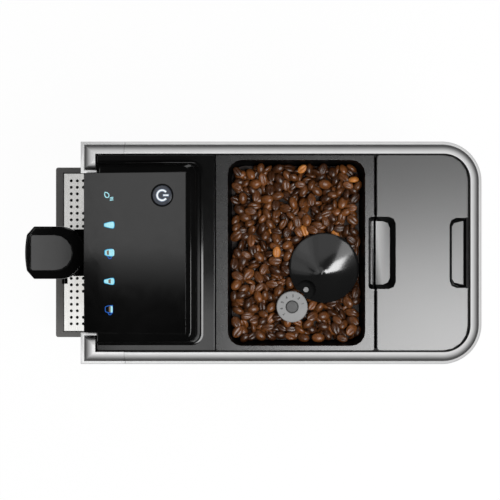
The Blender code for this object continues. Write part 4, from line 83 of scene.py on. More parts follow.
def coordinates(tree, stretch=(1, 1, 1)):
    place = tree.nodes.new("ShaderNodeTexCoord")
    mapping = tree.nodes.new("ShaderNodeMapping")
    mapping.inputs["Scale"].default_value = stretch
    tree.links.new(place.outputs["Object"], mapping.inputs["Vector"])
    return mapping.outputs["Vector"]


def noise(tree, vector, scale, detail=3.0, roughness=0.55, distortion=0.0):
    node = tree.nodes.new("ShaderNodeTexNoise")
    node.inputs["Scale"].default_value = scale
    node.inputs["Detail"].default_value = detail
    node.inputs["Roughness"].default_value = roughness
    node.inputs["Distortion"].default_value = distortion
    tree.links.new(vector, node.inputs["Vector"])
    return node.outputs["Fac"]


def ramp(tree, value, stops):
    node = tree.nodes.new("ShaderNodeValToRGB")
    elements = node.color_ramp.elements
    elements.remove(elements[-1])
    elements[0].position = stops[0][0]
    elements[0].color = (*stops[0][1], 1.0)
    for place, colour in stops[1:]:
        elements.new(place).color = (*colour, 1.0)
    tree.links.new(value, node.inputs["Fac"])
    return node.outputs["Color"]


def spread(tree, value, low, high, start=0.3, end=0.7):
    node = tree.nodes.new("ShaderNodeMapRange")
    node.inputs["From Min"].default_value = start
    node.inputs["From Max"].default_value = end
    node.inputs["To Min"].default_value = low
    node.inputs["To Max"].default_value = high
    tree.links.new(value, node.inputs["Value"])
    return node.outputs["Result"]


def bump(tree, shader, height, depth, strength=1.0):
    node = tree.nodes.new("ShaderNodeBump")
    node.inputs["Strength"].default_value = strength
    node.inputs["Distance"].default_value = depth
    tree.links.new(height, node.inputs["Height"])
    tree.links.new(node.outputs["Normal"], shader.inputs["Normal"])


def surface(name, dark, light, rough, grain, depth, metallic=0.0, stretch=(1, 1, 1), cloud=35.0, **fixed):
    """A moulded, brushed or cast surface: its colour and its shine drift slowly, and it has a fine grain."""
    material, tree, shader = start_material(name)
    shader.inputs["Metallic"].default_value = metallic
    for socket, value in fixed.items():
        shader.inputs[socket.replace("_", " ")].default_value = value
    plain = coordinates(tree)
    drift = noise(tree, plain, cloud, 4.0, 0.6, 0.4)
    colour = ramp(tree, drift, [(0.3, dark), (0.7, light)])
    tree.links.new(colour, shader.inputs["Base Color"])
    wear = noise(tree, plain, cloud * 3.0, 5.0, 0.65, 0.8)
    tree.links.new(spread(tree, wear, rough[0], rough[1]), shader.inputs["Roughness"])
    fine = noise(tree, coordinates(tree, stretch), grain, 2.0, 0.5)
    bump(tree, shader, fine, depth)
    return material


def grey(level, warm=0.0):
    return (level * (1 + warm), level, level * (1 - warm))


MATERIALS = {
    "satin_silver": surface(
        "satin_silver", grey(0.7), grey(0.74), (0.34, 0.4), 1400.0, 0.000006, 1.0, cloud=20.0
    ),
    "pillar_silver": surface(
        "pillar_silver", grey(0.55), grey(0.6), (0.34, 0.4), 1400.0, 0.000006, 0.45, cloud=20.0
    ),
    "gloss_black": surface(
        "gloss_black", grey(0.0022), grey(0.0035), (0.07, 0.12), 260.0, 0.000004, cloud=14.0
    ),
    "cone_black": surface(
        "cone_black", grey(0.012), grey(0.015), (0.1, 0.13), 260.0, 0.000003, cloud=14.0
    ),
    "satin_black": surface(
        "satin_black", grey(0.014), grey(0.02), (0.36, 0.46), 1500.0, 0.00003, cloud=24.0
    ),
    "cover_black": surface(
        "cover_black", grey(0.003), grey(0.004), (0.13, 0.17), 700.0, 0.000003, cloud=16.0
    ),
    "surround_black": surface(
        "surround_black", grey(0.013), grey(0.016), (0.26, 0.29), 900.0, 0.000003, cloud=16.0,
        Specular_IOR_Level=0.9,
    ),
    # Near black with little shine, used for painted shade: on the pocket walls, in the gaps beside the lid and round
    # the button, and deep in the hopper.
    "painted_shade_black": surface(
        "painted_shade_black", grey(0.0015), grey(0.0025), (0.35, 0.45), 900.0, 0.000003,
        Specular_IOR_Level=0.12,
    ),
    "graphite": surface(
        "graphite", grey(0.057), grey(0.06), (0.274, 0.28), 900.0, 0.0000012, cloud=16.0,
        Specular_IOR_Level=0.85,
    ),
    "tray_grey": surface(
        "tray_grey", grey(0.135, 0.03), grey(0.147, 0.03), (0.28, 0.36), 900.0, 0.00001, cloud=18.0
    ),
    "inset_grey": surface(
        "inset_grey", grey(0.062), grey(0.072), (0.34, 0.4), 1600.0, 0.00002, cloud=18.0
    ),
    # Dark olive grey as the spout guide shows in shadow: painted shade in its colour.
    "guide_olive_shade": surface(
        "guide_olive_shade", (0.04, 0.037, 0.028), (0.055, 0.05, 0.038), (0.3, 0.4), 1200.0, 0.00002
    ),
    "rubber": surface("rubber", grey(0.018), grey(0.028), (0.7, 0.85), 1100.0, 0.00008),
    "inner_plastic": surface(
        "inner_plastic", grey(0.16), grey(0.2), (0.42, 0.55), 1300.0, 0.00004
    ),
    "burr_steel": surface(
        "burr_steel", grey(0.5), grey(0.58), (0.25, 0.34), 900.0, 0.00002, 1.0, (1, 1, 12)
    ),
    "heater_metal": surface(
        "heater_metal", grey(0.48), grey(0.6), (0.42, 0.6), 500.0, 0.0001, 1.0
    ),
    "board_green": surface(
        "board_green", (0.012, 0.1, 0.04), (0.02, 0.14, 0.06), (0.35, 0.5), 600.0, 0.00002
    ),
    "silicone": surface(
        "silicone", (0.62, 0.62, 0.58), (0.72, 0.71, 0.67), (0.35, 0.5), 700.0, 0.00002
    ),
    "smoke_plastic": surface(
        "smoke_plastic", (0.3, 0.33, 0.37), (0.34, 0.37, 0.41), (0.08, 0.15), 300.0, 0.00001,
        Transmission_Weight=0.8,
    ),
    "dial_grey": surface(
        "dial_grey", grey(0.19), grey(0.22), (0.45, 0.55), 1500.0, 0.00002, cloud=60.0
    ),
    "dial_hub": surface("dial_hub", grey(0.034), grey(0.042), (0.35, 0.45), 1200.0, 0.00002),
    "mark_black": surface("mark_black", grey(0.012), grey(0.018), (0.4, 0.5), 1500.0, 0.00001),
    "screw_steel": surface(
        "screw_steel", grey(0.26), grey(0.32), (0.25, 0.35), 1500.0, 0.00001, 1.0
    ),
}


def steel_plate():
    """Brushed steel of the drip grid: long fine lines across the machine, and little coffee stains here and there."""
    material, tree, shader = start_material("steel_plate")
    shader.inputs["Metallic"].default_value = 1.0
    plain = coordinates(tree)
    lines = noise(tree, coordinates(tree, (0.03, 1.0, 0.2)), 2600.0, 3.0, 0.6)
    steel = ramp(tree, lines, [(0.25, (0.64, 0.635, 0.62)), (0.75, (0.72, 0.715, 0.7))])
    stain = noise(tree, plain, 28.0, 4.0, 0.6, 0.6)
    mask = spread(tree, stain, 0.0, 0.2, 0.55, 0.75)
    mix = tree.nodes.new("ShaderNodeMix")
    mix.data_type = "RGBA"
    tree.links.new(mask, mix.inputs[0])
    tree.links.new(steel, mix.inputs[6])
    mix.inputs[7].default_value = (0.5, 0.44, 0.35, 1.0)
    tree.links.new(mix.outputs[2], shader.inputs["Base Color"])
    tree.links.new(spread(tree, lines, 0.24, 0.36), shader.inputs["Roughness"])
    bump(tree, shader, lines, 0.000012)
    return material


def bean_material(name, dark, light, rough):
    """Roasted bean skin: its tone drifts at random, slightly oily, with fine wrinkles."""
    material, tree, shader = start_material(name)
    shader.inputs["Specular IOR Level"].default_value = 0.46
    plain = coordinates(tree)
    drift = noise(tree, plain, 190.0, 4.0, 0.6, 0.5)
    tree.links.new(ramp(tree, drift, [(0.3, dark), (0.72, light)]), shader.inputs["Base Color"])
    wrinkle = noise(tree, plain, 900.0, 4.0, 0.7, 1.2)
    tree.links.new(spread(tree, wrinkle, rough[0], rough[1]), shader.inputs["Roughness"])
    bump(tree, shader, wrinkle, 0.0002, 0.5)
    return material


def glowing(name, colour, strength):
    """A lit symbol behind the panel, a little uneven as its light guide is."""
    material, tree, shader = start_material(name)
    shader.inputs["Base Color"].default_value = (0.01, 0.01, 0.01, 1.0)
    shader.inputs["Roughness"].default_value = 0.3
    shader.inputs["Emission Strength"].default_value = strength
    drift = noise(tree, coordinates(tree), 420.0, 2.0, 0.5)
    dim = tuple(c * 0.86 for c in colour)
    tree.links.new(ramp(tree, drift, [(0.3, dim), (0.7, colour)]), shader.inputs["Emission Color"])
    return material


def button_material():
    """The blue-grey face of the power button, its tone and shine drifting a little at random."""
    material, tree, shader = start_material("button_grey")
    plain = coordinates(tree)
    drift = noise(tree, plain, 90.0, 3.0, 0.5)
    tree.links.new(
        ramp(tree, drift, [(0.3, (0.022, 0.026, 0.036)), (0.7, (0.032, 0.037, 0.05))]),
        shader.inputs["Base Color"],
    )
    tree.links.new(spread(tree, drift, 0.18, 0.26), shader.inputs["Roughness"])
    bump(tree, shader, noise(tree, plain, 900.0), 0.000004)
    return material


MATERIALS["steel_plate"] = steel_plate()
MATERIALS["button_grey"] = button_material()
# The bed under the top beans is coloured darker than any of them: painted shade in the gaps between beans.
MATERIALS["bean_brown"] = bean_material(
    "bean_brown", (0.008, 0.0026, 0.0008), (0.018, 0.006, 0.0018), (0.5, 0.7)
)
BEAN_TONES = [
    bean_material("bean_dark", (0.018, 0.0056, 0.0014), (0.06, 0.019, 0.0048), (0.23, 0.36)),
    bean_material("bean_mid", (0.044, 0.014, 0.0032), (0.125, 0.041, 0.0095), (0.23, 0.36)),
    bean_material("bean_warm", (0.072, 0.0225, 0.0046), (0.185, 0.061, 0.0135), (0.25, 0.38)),
    bean_material("bean_tan", (0.3, 0.1, 0.016), (0.46, 0.17, 0.03), (0.34, 0.48)),
]
CYAN = glowing("icon_cyan", (0.42, 0.86, 0.95), 1.0)
CYAN_EDGE = glowing("icon_edge", (0.05, 0.5, 0.86), 0.9)
BLUE = glowing("icon_blue", (0.01, 0.16, 0.75), 0.8)
COFFEE = glowing("icon_coffee", (0.2, 0.14, 0.1), 0.9)
WHITE = glowing("power_white", (0.95, 0.98, 1.0), 1.0)
HALO = glowing("power_halo", (0.3, 0.42, 0.62), 0.55)


# ---------------------------------------------------------------- helpers
def new_piece(name, mesh_or_bm, materials, body, smooth=30.0):
    if isinstance(mesh_or_bm, bmesh.types.BMesh):
        mesh = bpy.data.meshes.new(name)
        mesh_or_bm.to_mesh(mesh)
        mesh_or_bm.free()
    else:
        mesh = mesh_or_bm
    for material in materials:
        mesh.materials.append(material)
    piece = bpy.data.objects.new(name, mesh)
    bpy.context.scene.collection.objects.link(piece)
    if smooth:
        mesh.shade_smooth()
        mesh.set_sharp_from_angle(angle=math.radians(smooth))
    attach(piece, body)
    return piece


def bare_mesh(node):
    """The solid of a node as a welded mesh without its triangulation on flat faces."""
    source = NODES[node].data
    bm = bmesh.new()
    bm.from_mesh(source)
    bmesh.ops.remove_doubles(bm, verts=bm.verts, dist=0.000002)
    bmesh.ops.dissolve_degenerate(bm, edges=bm.edges, dist=0.000002)
    bmesh.ops.dissolve_limit(
        bm, angle_limit=math.radians(0.3), verts=bm.verts, edges=bm.edges
    )
    mesh = bpy.data.meshes.new(node + "_bare")
    verts = [v.co.copy() for v in bm.verts]
    bm.verts.index_update()
    faces = [[v.index for v in f.verts] for f in bm.faces]
    bm.free()
    mesh.from_pydata(verts, [], faces)
    return mesh


def finish_edges(node, material, edge=0.4, segments=2, sharp=28.0, name=None):
    """A finer copy of a solid: its outer edges rounded as a moulded or pressed piece has them."""
    mesh = bare_mesh(node)
    bm = bmesh.new()
    bm.from_mesh(mesh)
    weights = bm.edges.layers.float.new("bevel_weight_edge")
    for item in bm.edges:
        if len(item.link_faces) == 2 and item.is_convex:
            if item.calc_face_angle(0.0) > math.radians(sharp):
                item[weights] = 1.0
    bm.to_mesh(mesh)
    bm.free()
    piece = new_piece(name or node + "_skin", mesh, [material], BODY_OF[node], 0)
    piece.data.shade_smooth()
    if edge:
        bevel = piece.modifiers.new("edges", "BEVEL")
        bevel.width = edge * MM
        bevel.segments = segments
        bevel.limit_method = "WEIGHT"
        bevel.use_clamp_overlap = True
        bevel.miter_outer = "MITER_ARC"
        weighted = piece.modifiers.new("shading", "WEIGHTED_NORMAL")
        weighted.weight = 60
        weighted.keep_sharp = True
    piece.data.set_sharp_from_angle(angle=math.radians(sharp))
    if edge:
        sharp_edges = piece.data.attributes.get("sharp_edge")
        concave_only(piece.data, sharp)
    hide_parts(node)
    return piece


def concave_only(mesh, sharp):
    """Keeps the sharp mark on the inner corners alone, because the outer ones are rounded."""
    bm = bmesh.new()
    bm.from_mesh(mesh)
    for item in bm.edges:
        if len(item.link_faces) == 2:
            inner = not item.is_convex and item.calc_face_angle(0.0) > math.radians(sharp)
            item.smooth = not inner
    bm.to_mesh(mesh)
    bm.free()


def paint(node, material):
    """Gives a solid that stays as it is its material."""
    mesh = NODES[node].data
    mesh.materials.clear()
    mesh.materials.append(material)


def loop_faces(bm, rings, closed=True):
    for a, b in zip(rings, rings[1:]):
        n = len(a)
        for i in range(n if closed else n - 1):
            j = (i + 1) % n
            if a[i] is a[j]:
                bm.faces.new((a[i], b[j], b[i]))
            elif b[i] is b[j]:
                bm.faces.new((a[i], a[j], b[i]))
            else:
                bm.faces.new((a[i], a[j], b[j], b[i]))


def lathe(bm, profile, centre, steps, ripple=None):
    """Turns a profile of (radius, z) in millimetres round a vertical axis. It starts and ends on the axis."""
    rings = []
    for k, (radius, z) in enumerate(profile):
        if radius < 1e-6:
            point = bm.verts.new((centre[0] * MM, centre[1] * MM, z * MM))
            rings.append([point] * steps)
            continue
        ring = []
        for i in range(steps):
            a = 2 * math.pi * i / steps
            r = radius - (ripple(k, i) if ripple else 0.0)
            ring.append(
                bm.verts.new(
                    ((centre[0] + r * math.cos(a)) * MM, (centre[1] + r * math.sin(a)) * MM, z * MM)
                )
            )
        rings.append(ring)
    loop_faces(bm, rings)


# ---------------------------------------------------------------- housing pieces that stay as they are
KEPT = {
    "drip_grid": "steel_plate",
    "inner_deck": "inner_plastic",
    "grounds_bin": "inner_plastic",
    "brew_frame": "inner_plastic",
    "brew_chamber": "inner_plastic",
    "grind_chamber": "inner_plastic",
    "ground_chute": "inner_plastic",
    "burr_carrier": "inner_plastic",
    "dial_pinion": "inner_plastic",
    "tank_dock": "inner_plastic",
    "dock_seal": "rubber",
    "upper_burr": "burr_steel",
    "lower_burr": "burr_steel",
    "display_board": "board_green",
    "tank_valve": "satin_black",
    "brew_piston": "satin_black",
    # The rail liner, seen in the gap beside the lid, is painted near black: painted shade in that gap.
    "rail_liner": "painted_shade_black",
    "power_board": "board_green",
}
for node, name in KEPT.items():
    paint(node, MATERIALS[name])

REFINED = {
    "front_pillar_left": ("pillar_silver", 0.4),
    "front_pillar_right": ("pillar_silver", 0.4),
    "front_fascia": ("gloss_black", 0.4),
    "console_housing": ("gloss_black", 0.5),
    "control_panel": ("gloss_black", 0.25),
    "spout_cap": ("gloss_black", 0.7),
    "spout_body": ("gloss_black", 0.6),
    "spout_inset": ("inset_grey", 0.5),
    "nozzle_block": ("satin_black", 0.5),
    "spout_guide": ("guide_olive_shade", 0.4),
    "base_pan": ("satin_black", 0.5),
    "front_cover": ("cover_black", 0.4),
    "hopper_surround": ("surround_black", 0.5),
    # The hopper walls take the same near black: black plastic with painted shade deep in the hopper.
    "bean_hopper": ("painted_shade_black", 0.4),
    "side_panel_left": ("satin_black", 0.4),
    "side_panel_right": ("satin_black", 0.4),
    "service_door": ("satin_black", 0.5),
    "rear_panel": ("satin_black", 0.4),
    "power_entry": ("satin_black", 0.3),
    "mains_switch": ("satin_black", 0.3),
    "drip_tray": ("tray_grey", 0.5),
    "tank_lid": ("graphite", 0.5),
    "water_tank": ("smoke_plastic", 0.6),
    "power_button": ("button_grey", 0.9),
    "grinder_motor": ("burr_steel", 0.5),
    "gearbox": ("satin_black", 0.6),
    "pump": ("burr_steel", 0.5),
    "flow_heater": ("heater_metal", 0.6),
    "brew_hose": ("silicone", 0.0),
    "pump_hose": ("silicone", 0.0),
    "tank_hose": ("silicone", 0.0),
    "foot_front_left": ("rubber", 0.6),
    "foot_front_right": ("rubber", 0.6),
    "foot_rear_left": ("rubber", 0.6),
    "foot_rear_right": ("rubber", 0.6),
}
SKINS = {}
for node, (name, edge) in REFINED.items():
    SKINS[node] = finish_edges(node, MATERIALS[name], edge)

# The finger pockets: half width, and front and rear edge, in the lid and in the surround
POCKETS = [(40.0, 110.0, 152.0), (40.0, 190.0, 224.0)]
LID_LIP = 218.9


def paint_pocket_shade(piece):
    """Paints the steep walls of the finger pockets and the lid's rear lip near black: painted shade on the walls and in
    the gap behind the lip.
    """
    mesh = piece.data
    mesh.materials.append(MATERIALS["painted_shade_black"])
    for face in mesh.polygons:
        x, y = face.center.x / MM, face.center.y / MM
        steep = face.normal.z < 0.85
        if steep and any(abs(x) < half and low < y < high for half, low, high in POCKETS):
            face.material_index = 1
        elif abs(x) < POCKETS[1][0] and y > LID_LIP:
            face.material_index = 1


def paint_rear_pocket_shade():
    """A sloping black band round the floor of the rear finger pocket, wider at its two sides: partly a dark trim,
    partly painted shade of the pocket's walls.
    """
    lid = SKINS["tank_lid"].data
    floor = max(
        (f for f in lid.polygons if f.normal.z > 0.99 and f.center.y > 0.19 and 0.32 < f.center.z < 0.323),
        key=lambda f: f.area,
    )
    points = [lid.vertices[i].co.copy() for i in floor.vertices]
    bm = bmesh.new()
    high, low = [], []
    for before, here, after in zip(points[-1:] + points[:-1], points, points[1:] + points[:1]):
        along = ((here - before).normalized() + (after - here).normalized()).normalized()
        outward = Vector((along.y, -along.x, 0.0))
        width = (0.9 + 1.9 * abs(outward.x)) * MM
        high.append(bm.verts.new(here - outward * 0.05 * MM + Vector((0, 0, 3.5 * MM))))
        low.append(bm.verts.new(here - outward * width + Vector((0, 0, 0.06 * MM))))
    loop_faces(bm, [high, low])
    bmesh.ops.recalc_face_normals(bm, faces=bm.faces)
    return new_piece(
        "pocket_lining", bm, [MATERIALS["painted_shade_black"]], BODY_OF["tank_lid"]
    )


paint_pocket_shade(SKINS["tank_lid"])
paint_pocket_shade(SKINS["hopper_surround"])
paint_rear_pocket_shade()


def round_console():
    """Lets the margin round the control panel fall away outwards, as a moulded frame does."""
    half, rear, run, fall, foot = 80.5, -60.0, 4.4, 1.6, 330.0
    for vert in SKINS["console_housing"].data.vertices:
        x, y, z = vert.co / MM
        outside = max(abs(x) - half, y - rear)
        if z > foot and outside > 0:
            vert.co.z -= fall * min(1.0, outside / run) * MM


def console_bead():
    """The shallow lip at the foot of the console, which catches the light behind it."""
    profile = [(2.6, 0.02), (1.7, 0.1), (0.8, 0.28), (0.1, 0.62), (-0.3, 1.3), (-0.6, 3.0)]
    half, rear, front, corner, foot = 90.0, -47.0, -150.0, 9.0, 327.5
    path = [(-half, front, -1.0, 0.0)]
    for step in range(9):
        turn = math.radians(180 - 90 * step / 8)
        path.append((-half + corner + corner * math.cos(turn), rear - corner + corner * math.sin(turn),
                     math.cos(turn), math.sin(turn)))
    path += [(-x, y, -nx, ny) for x, y, nx, ny in reversed(path)]
    bm = bmesh.new()
    rings = [
        [bm.verts.new(Vector((x + nx * out, y + ny * out, foot + up)) * MM) for out, up in profile]
        for x, y, nx, ny in path
    ]
    loop_faces(bm, rings, closed=False)
    bmesh.ops.recalc_face_normals(bm, faces=bm.faces)
    return new_piece("console_bead", bm, [MATERIALS["gloss_black"]], "housing", 60)


round_console()
console_bead()


# ---------------------------------------------------------------- the silver rail and its corner caps
HALF_WIDTH, REAR_Y, FRONT_Y = 112.2, 236.0, -168.4
RAIL_WIDTH, RAIL_FRONT_Y, CORNER = 13.0, -123.4, 40.0
RAIL_FOOT_Z, LEDGE_Z, RAIL_TOP_Z = 316.0, 319.0, 330.0
LEDGE_WIDTH, CROWN_RUN, CROWN_STEPS = 2.8, 9.0, 22


def rail_levels():
    """The rail's outer side as offsets inwards and heights: foot, ledge with a broken edge, rounded crown."""
    levels = [(0.0, RAIL_FOOT_Z), (0.0, LEDGE_Z - 0.3), (0.09, LEDGE_Z - 0.09), (0.3, LEDGE_Z)]
    for k in range(CROWN_STEPS + 1):
        t = math.pi / 2 * k / CROWN_STEPS
        inwards = LEDGE_WIDTH + CROWN_RUN * (1 - math.cos(t))
        levels.append((inwards, LEDGE_Z + (RAIL_TOP_Z - LEDGE_Z) * math.sin(t)))
    return levels


def rail_stations():
    """Points of the rail's outer line with the direction inwards, from the left front round the rear."""
    stations = [((-HALF_WIDTH, RAIL_FRONT_Y), (1.0, 0.0))]
    for side, start, end in ((-1, 180, 90), (1, 90, 0)):
        for k in range(33):
            a = math.radians(start + (end - start) * k / 32)
            middle = (side * (HALF_WIDTH - CORNER), REAR_Y - CORNER)
            outwards = (math.cos(a), math.sin(a))
            point = (middle[0] + CORNER * outwards[0], middle[1] + CORNER * outwards[1])
            stations.append((point, (-outwards[0], -outwards[1])))
    stations.append(((HALF_WIDTH, RAIL_FRONT_Y), (-1.0, 0.0)))
    return stations


def make_rail():
    profile = rail_levels() + [
        (RAIL_WIDTH - 0.3, RAIL_TOP_Z),
        (RAIL_WIDTH - 0.09, RAIL_TOP_Z - 0.09),
        (RAIL_WIDTH, RAIL_TOP_Z - 0.3),
        (RAIL_WIDTH, RAIL_FOOT_Z),
    ]
    bm = bmesh.new()
    rings = [
        [
            bm.verts.new(((x + nx * d) * MM, (y + ny * d) * MM, z * MM))
            for d, z in profile
        ]
        for (x, y), (nx, ny) in rail_stations()
    ]
    loop_faces(bm, rings)
    bm.faces.new(rings[0])
    bm.faces.new(rings[-1][::-1])
    bmesh.ops.recalc_face_normals(bm, faces=bm.faces)
    rail = new_piece("rail_crown", bm, [MATERIALS["satin_silver"]], "housing", 50.0)
    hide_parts("top_rail")


def make_cap(side, word):
    """A corner cap: the rail's crown turned round the corner, with a mitre at both of its corners."""
    low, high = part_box("corner_cap_" + word)
    rear_y = high.y / MM
    end = 80.4
    leg_y = FRONT_Y + 16.0
    bm = bmesh.new()
    rings = []
    for d, z in rail_levels():
        front_y = FRONT_Y + d * 16.0 / RAIL_WIDTH
        outline = [
            (end + d, front_y),
            (HALF_WIDTH - d, front_y),
            (HALF_WIDTH - d, rear_y),
            (HALF_WIDTH - RAIL_WIDTH, rear_y),
            (HALF_WIDTH - RAIL_WIDTH, leg_y),
            (end + d, leg_y),
        ]
        rings.append([bm.verts.new((side * x * MM, y * MM, z * MM)) for x, y in outline])
    loop_faces(bm, rings)
    bm.faces.new(rings[0])
    bm.faces.new(rings[-1][::-1])
    bmesh.ops.recalc_face_normals(bm, faces=bm.faces)
    cap = new_piece(
        "cap_crown_" + word, bm, [MATERIALS["satin_silver"]], "housing", 25.0
    )
    points = cap.data.vertices
    for edge in cap.data.edges:
        a, b = edge.vertices
        if abs(points[a].co.z - points[b].co.z) > 1e-7:
            edge.use_edge_sharp = True
    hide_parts("corner_cap_" + word)


make_rail()
make_cap(-1, "left")
make_cap(1, "right")


# ---------------------------------------------------------------- the cone over the grinder
def make_cone():
    """The shiny cover: a wide cone with its apex off the middle, a turned edge and a well for the screw."""
    steps, bm = 160, bmesh.new()
    apex = APEX
    levels = [(35.4, 0.0, 0.0), (35.4, 1.1, 0.0), (35.25, 1.45, 0.0), (34.9, 1.65, 0.0)]
    for k in range(1, 16):
        t = k / 16
        levels.append((34.9 + (3.4 - 34.9) * t, 1.65 + (11.0 - 1.65) * t + 0.5 * math.sin(math.pi * t), t))
    levels += [(2.9, 11.35, 0.985), (2.0, 11.75, 0.995), (1.0, 11.95, 1.0)]
    rings = []
    centre = bm.verts.new((GRINDER[0] * MM, GRINDER[1] * MM, CONE_BASE_Z * MM))
    rings.append([centre] * steps)
    for radius, rise, shift in levels:
        cx = GRINDER[0] + (apex[0] - GRINDER[0]) * shift
        cy = GRINDER[1] + (apex[1] - GRINDER[1]) * shift
        ring = []
        for i in range(steps):
            a = 2 * math.pi * i / steps
            ring.append(
                bm.verts.new(
                    (
                        (cx + radius * math.cos(a)) * MM,
                        (cy + radius * math.sin(a)) * MM,
                        (CONE_BASE_Z + rise) * MM,
                    )
                )
            )
        rings.append(ring)
    tip = bm.verts.new((apex[0] * MM, apex[1] * MM, (CONE_BASE_Z + 12.0) * MM))
    rings.append([tip] * steps)
    loop_faces(bm, rings)
    bmesh.ops.recalc_face_normals(bm, faces=bm.faces)
    cone = new_piece("cone_cover", bm, [MATERIALS["cone_black"]], "housing", 32.0)
    for centre, radius, low in (
        (SCREW, 9.8, CONE_BASE_Z + 1.6),
        (DIAL, 17.4, CONE_BASE_Z - 2.0),
        (SCREW, 3.2, CONE_BASE_Z + 0.8),
    ):
        cutter_bm = bmesh.new()
        lathe(cutter_bm, [(0, low), (radius, low), (radius, 330.0), (0, 330.0)], centre, 64)
        bmesh.ops.recalc_face_normals(cutter_bm, faces=cutter_bm.faces)
        mesh = bpy.data.meshes.new("cutter")
        cutter_bm.to_mesh(mesh)
        cutter_bm.free()
        cutter = bpy.data.objects.new("cutter", mesh)
        bpy.context.scene.collection.objects.link(cutter)
        cut = cone.modifiers.new("cut", "BOOLEAN")
        cut.operation = "DIFFERENCE"
        cut.solver = "EXACT"
        cut.object = cutter
        bake(cone)
        bpy.data.objects.remove(cutter)
    cone.data.shade_smooth()
    cone.data.set_sharp_from_angle(angle=math.radians(32.0))
    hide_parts("grinder_cover")
    return cone


def bake(piece):
    """Applies the modifiers of a piece."""
    graph = bpy.context.evaluated_depsgraph_get()
    mesh = bpy.data.meshes.new_from_object(piece.evaluated_get(graph), depsgraph=graph)
    piece.modifiers.clear()
    piece.data = mesh


cone = make_cone()


# ---------------------------------------------------------------- the dial and its pointer
def make_dial():
    """The grind dial: a finely ribbed rim, a flat ring with marks, and a sunk hub."""
    steps = 240
    teeth = 60

    def ripple(k, i):
        if k not in (3, 4):
            return 0.0
        return 0.28 * (0.5 - 0.5 * math.cos(2 * math.pi * teeth * i / steps))

    bm = bmesh.new()
    profile = [
        (0, 249.6),
        (3.5, 249.6),
        (3.5, 315.3),
        (15.8, 315.3),
        (15.8, 320.5),
        (15.25, 321.1),
        (14.9, 321.3),
        (6.9, 321.3),
        (6.5, 321.1),
        (6.3, 320.1),
        (5.75, 320.1),
        (5.7, 320.9),
        (5.3, 321.1),
        (0, 321.15),
    ]
    lathe(bm, profile, DIAL, steps, ripple)
    bmesh.ops.recalc_face_normals(bm, faces=bm.faces)
    for face in bm.faces:
        middle = face.calc_center_median()
        reach = math.hypot(middle.x - DIAL[0] * MM, middle.y - DIAL[1] * MM)
        if reach < 5.72 * MM and middle.z > 320 * MM:
            face.material_index = 1
        elif reach < 6.6 * MM and middle.z > 316 * MM:
            face.material_index = 2
        elif middle.z < 315 * MM:
            face.material_index = 2
    dial = new_piece(
        "dial_knob", bm,
        [MATERIALS["dial_grey"], MATERIALS["dial_hub"], MATERIALS["mark_black"]],
        "dial", 24.0,
    )
    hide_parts("grind_dial")
    return dial


make_dial()

DIGITS = {
    "1": [[(-0.25, 0.6), (0.15, 1.0), (0.15, -1.0)]],
    "2": [[(-0.5, 0.6), (-0.2, 1.0), (0.35, 1.0), (0.55, 0.5), (-0.5, -1.0), (0.6, -1.0)]],
    "3": [[(-0.5, 1.0), (0.5, 1.0), (0.0, 0.2), (0.5, -0.2), (0.4, -0.8), (-0.1, -1.0), (-0.5, -0.7)]],
    "4": [[(0.3, -1.0), (0.3, 1.0), (-0.6, -0.4), (0.6, -0.4)]],
    "5": [[(0.5, 1.0), (-0.4, 1.0), (-0.5, 0.1), (0.2, 0.2), (0.55, -0.3), (0.2, -1.0), (-0.5, -0.8)]],
    "6": [[(0.4, 1.0), (-0.3, 0.5), (-0.5, -0.4), (-0.2, -1.0), (0.4, -0.9), (0.5, -0.3), (0.1, 0.1), (-0.5, -0.2)]],
    "7": [[(-0.5, 1.0), (0.6, 1.0), (-0.1, -1.0)]],
}


def ribbon(bm, points, width, place, material_index=0, height=0.00006, closed=False):
    """A raised line of even width along flat points. place turns (u, v) in metres and a height into a point."""
    count = len(points)
    sides = []
    for i, point in enumerate(points):
        before = points[i - 1] if i or closed else point
        after = points[(i + 1) % count] if i < count - 1 or closed else point
        a, b = Vector(point) - Vector(before), Vector(after) - Vector(point)
        if a.length < 1e-9:
            a = b
        if b.length < 1e-9:
            b = a
        a.normalize()
        b.normalize()
        along = a + b
        along = along.normalized() if along.length > 1e-6 else a
        across = Vector((-along.y, along.x))
        grow = 1.0 / max(0.5, across.dot(Vector((-b.y, b.x))))
        offset = across * (width / 2 * grow)
        sides.append((Vector(point) + offset, Vector(point) - offset))
    rows = [
        [
            bm.verts.new(place(left.x, left.y, height)),
            bm.verts.new(place(right.x, right.y, height)),
            bm.verts.new(place(right.x, right.y, 0.0)),
            bm.verts.new(place(left.x, left.y, 0.0)),
        ]
        for left, right in sides
    ]
    faces = []
    for i in range(count if closed else count - 1):
        a, b = rows[i], rows[(i + 1) % count]
        for k in range(4):
            faces.append(bm.faces.new((a[k], a[(k + 1) % 4], b[(k + 1) % 4], b[k])))
    if not closed:
        faces.append(bm.faces.new(rows[0]))
        faces.append(bm.faces.new(rows[-1][::-1]))
    for face in faces:
        face.material_index = material_index


def filled(bm, points, place, material_index=0, height=0.00006):
    """A raised flat shape with that outline."""
    top = [bm.verts.new(place(u, v, height)) for u, v in points]
    low = [bm.verts.new(place(u, v, 0.0)) for u, v in points]
    faces = [bm.faces.new(top), bm.faces.new(low[::-1])]
    for i in range(len(points)):
        j = (i + 1) % len(points)
        faces.append(bm.faces.new((top[i], low[i], low[j], top[j])))
    for face in faces:
        face.material_index = material_index


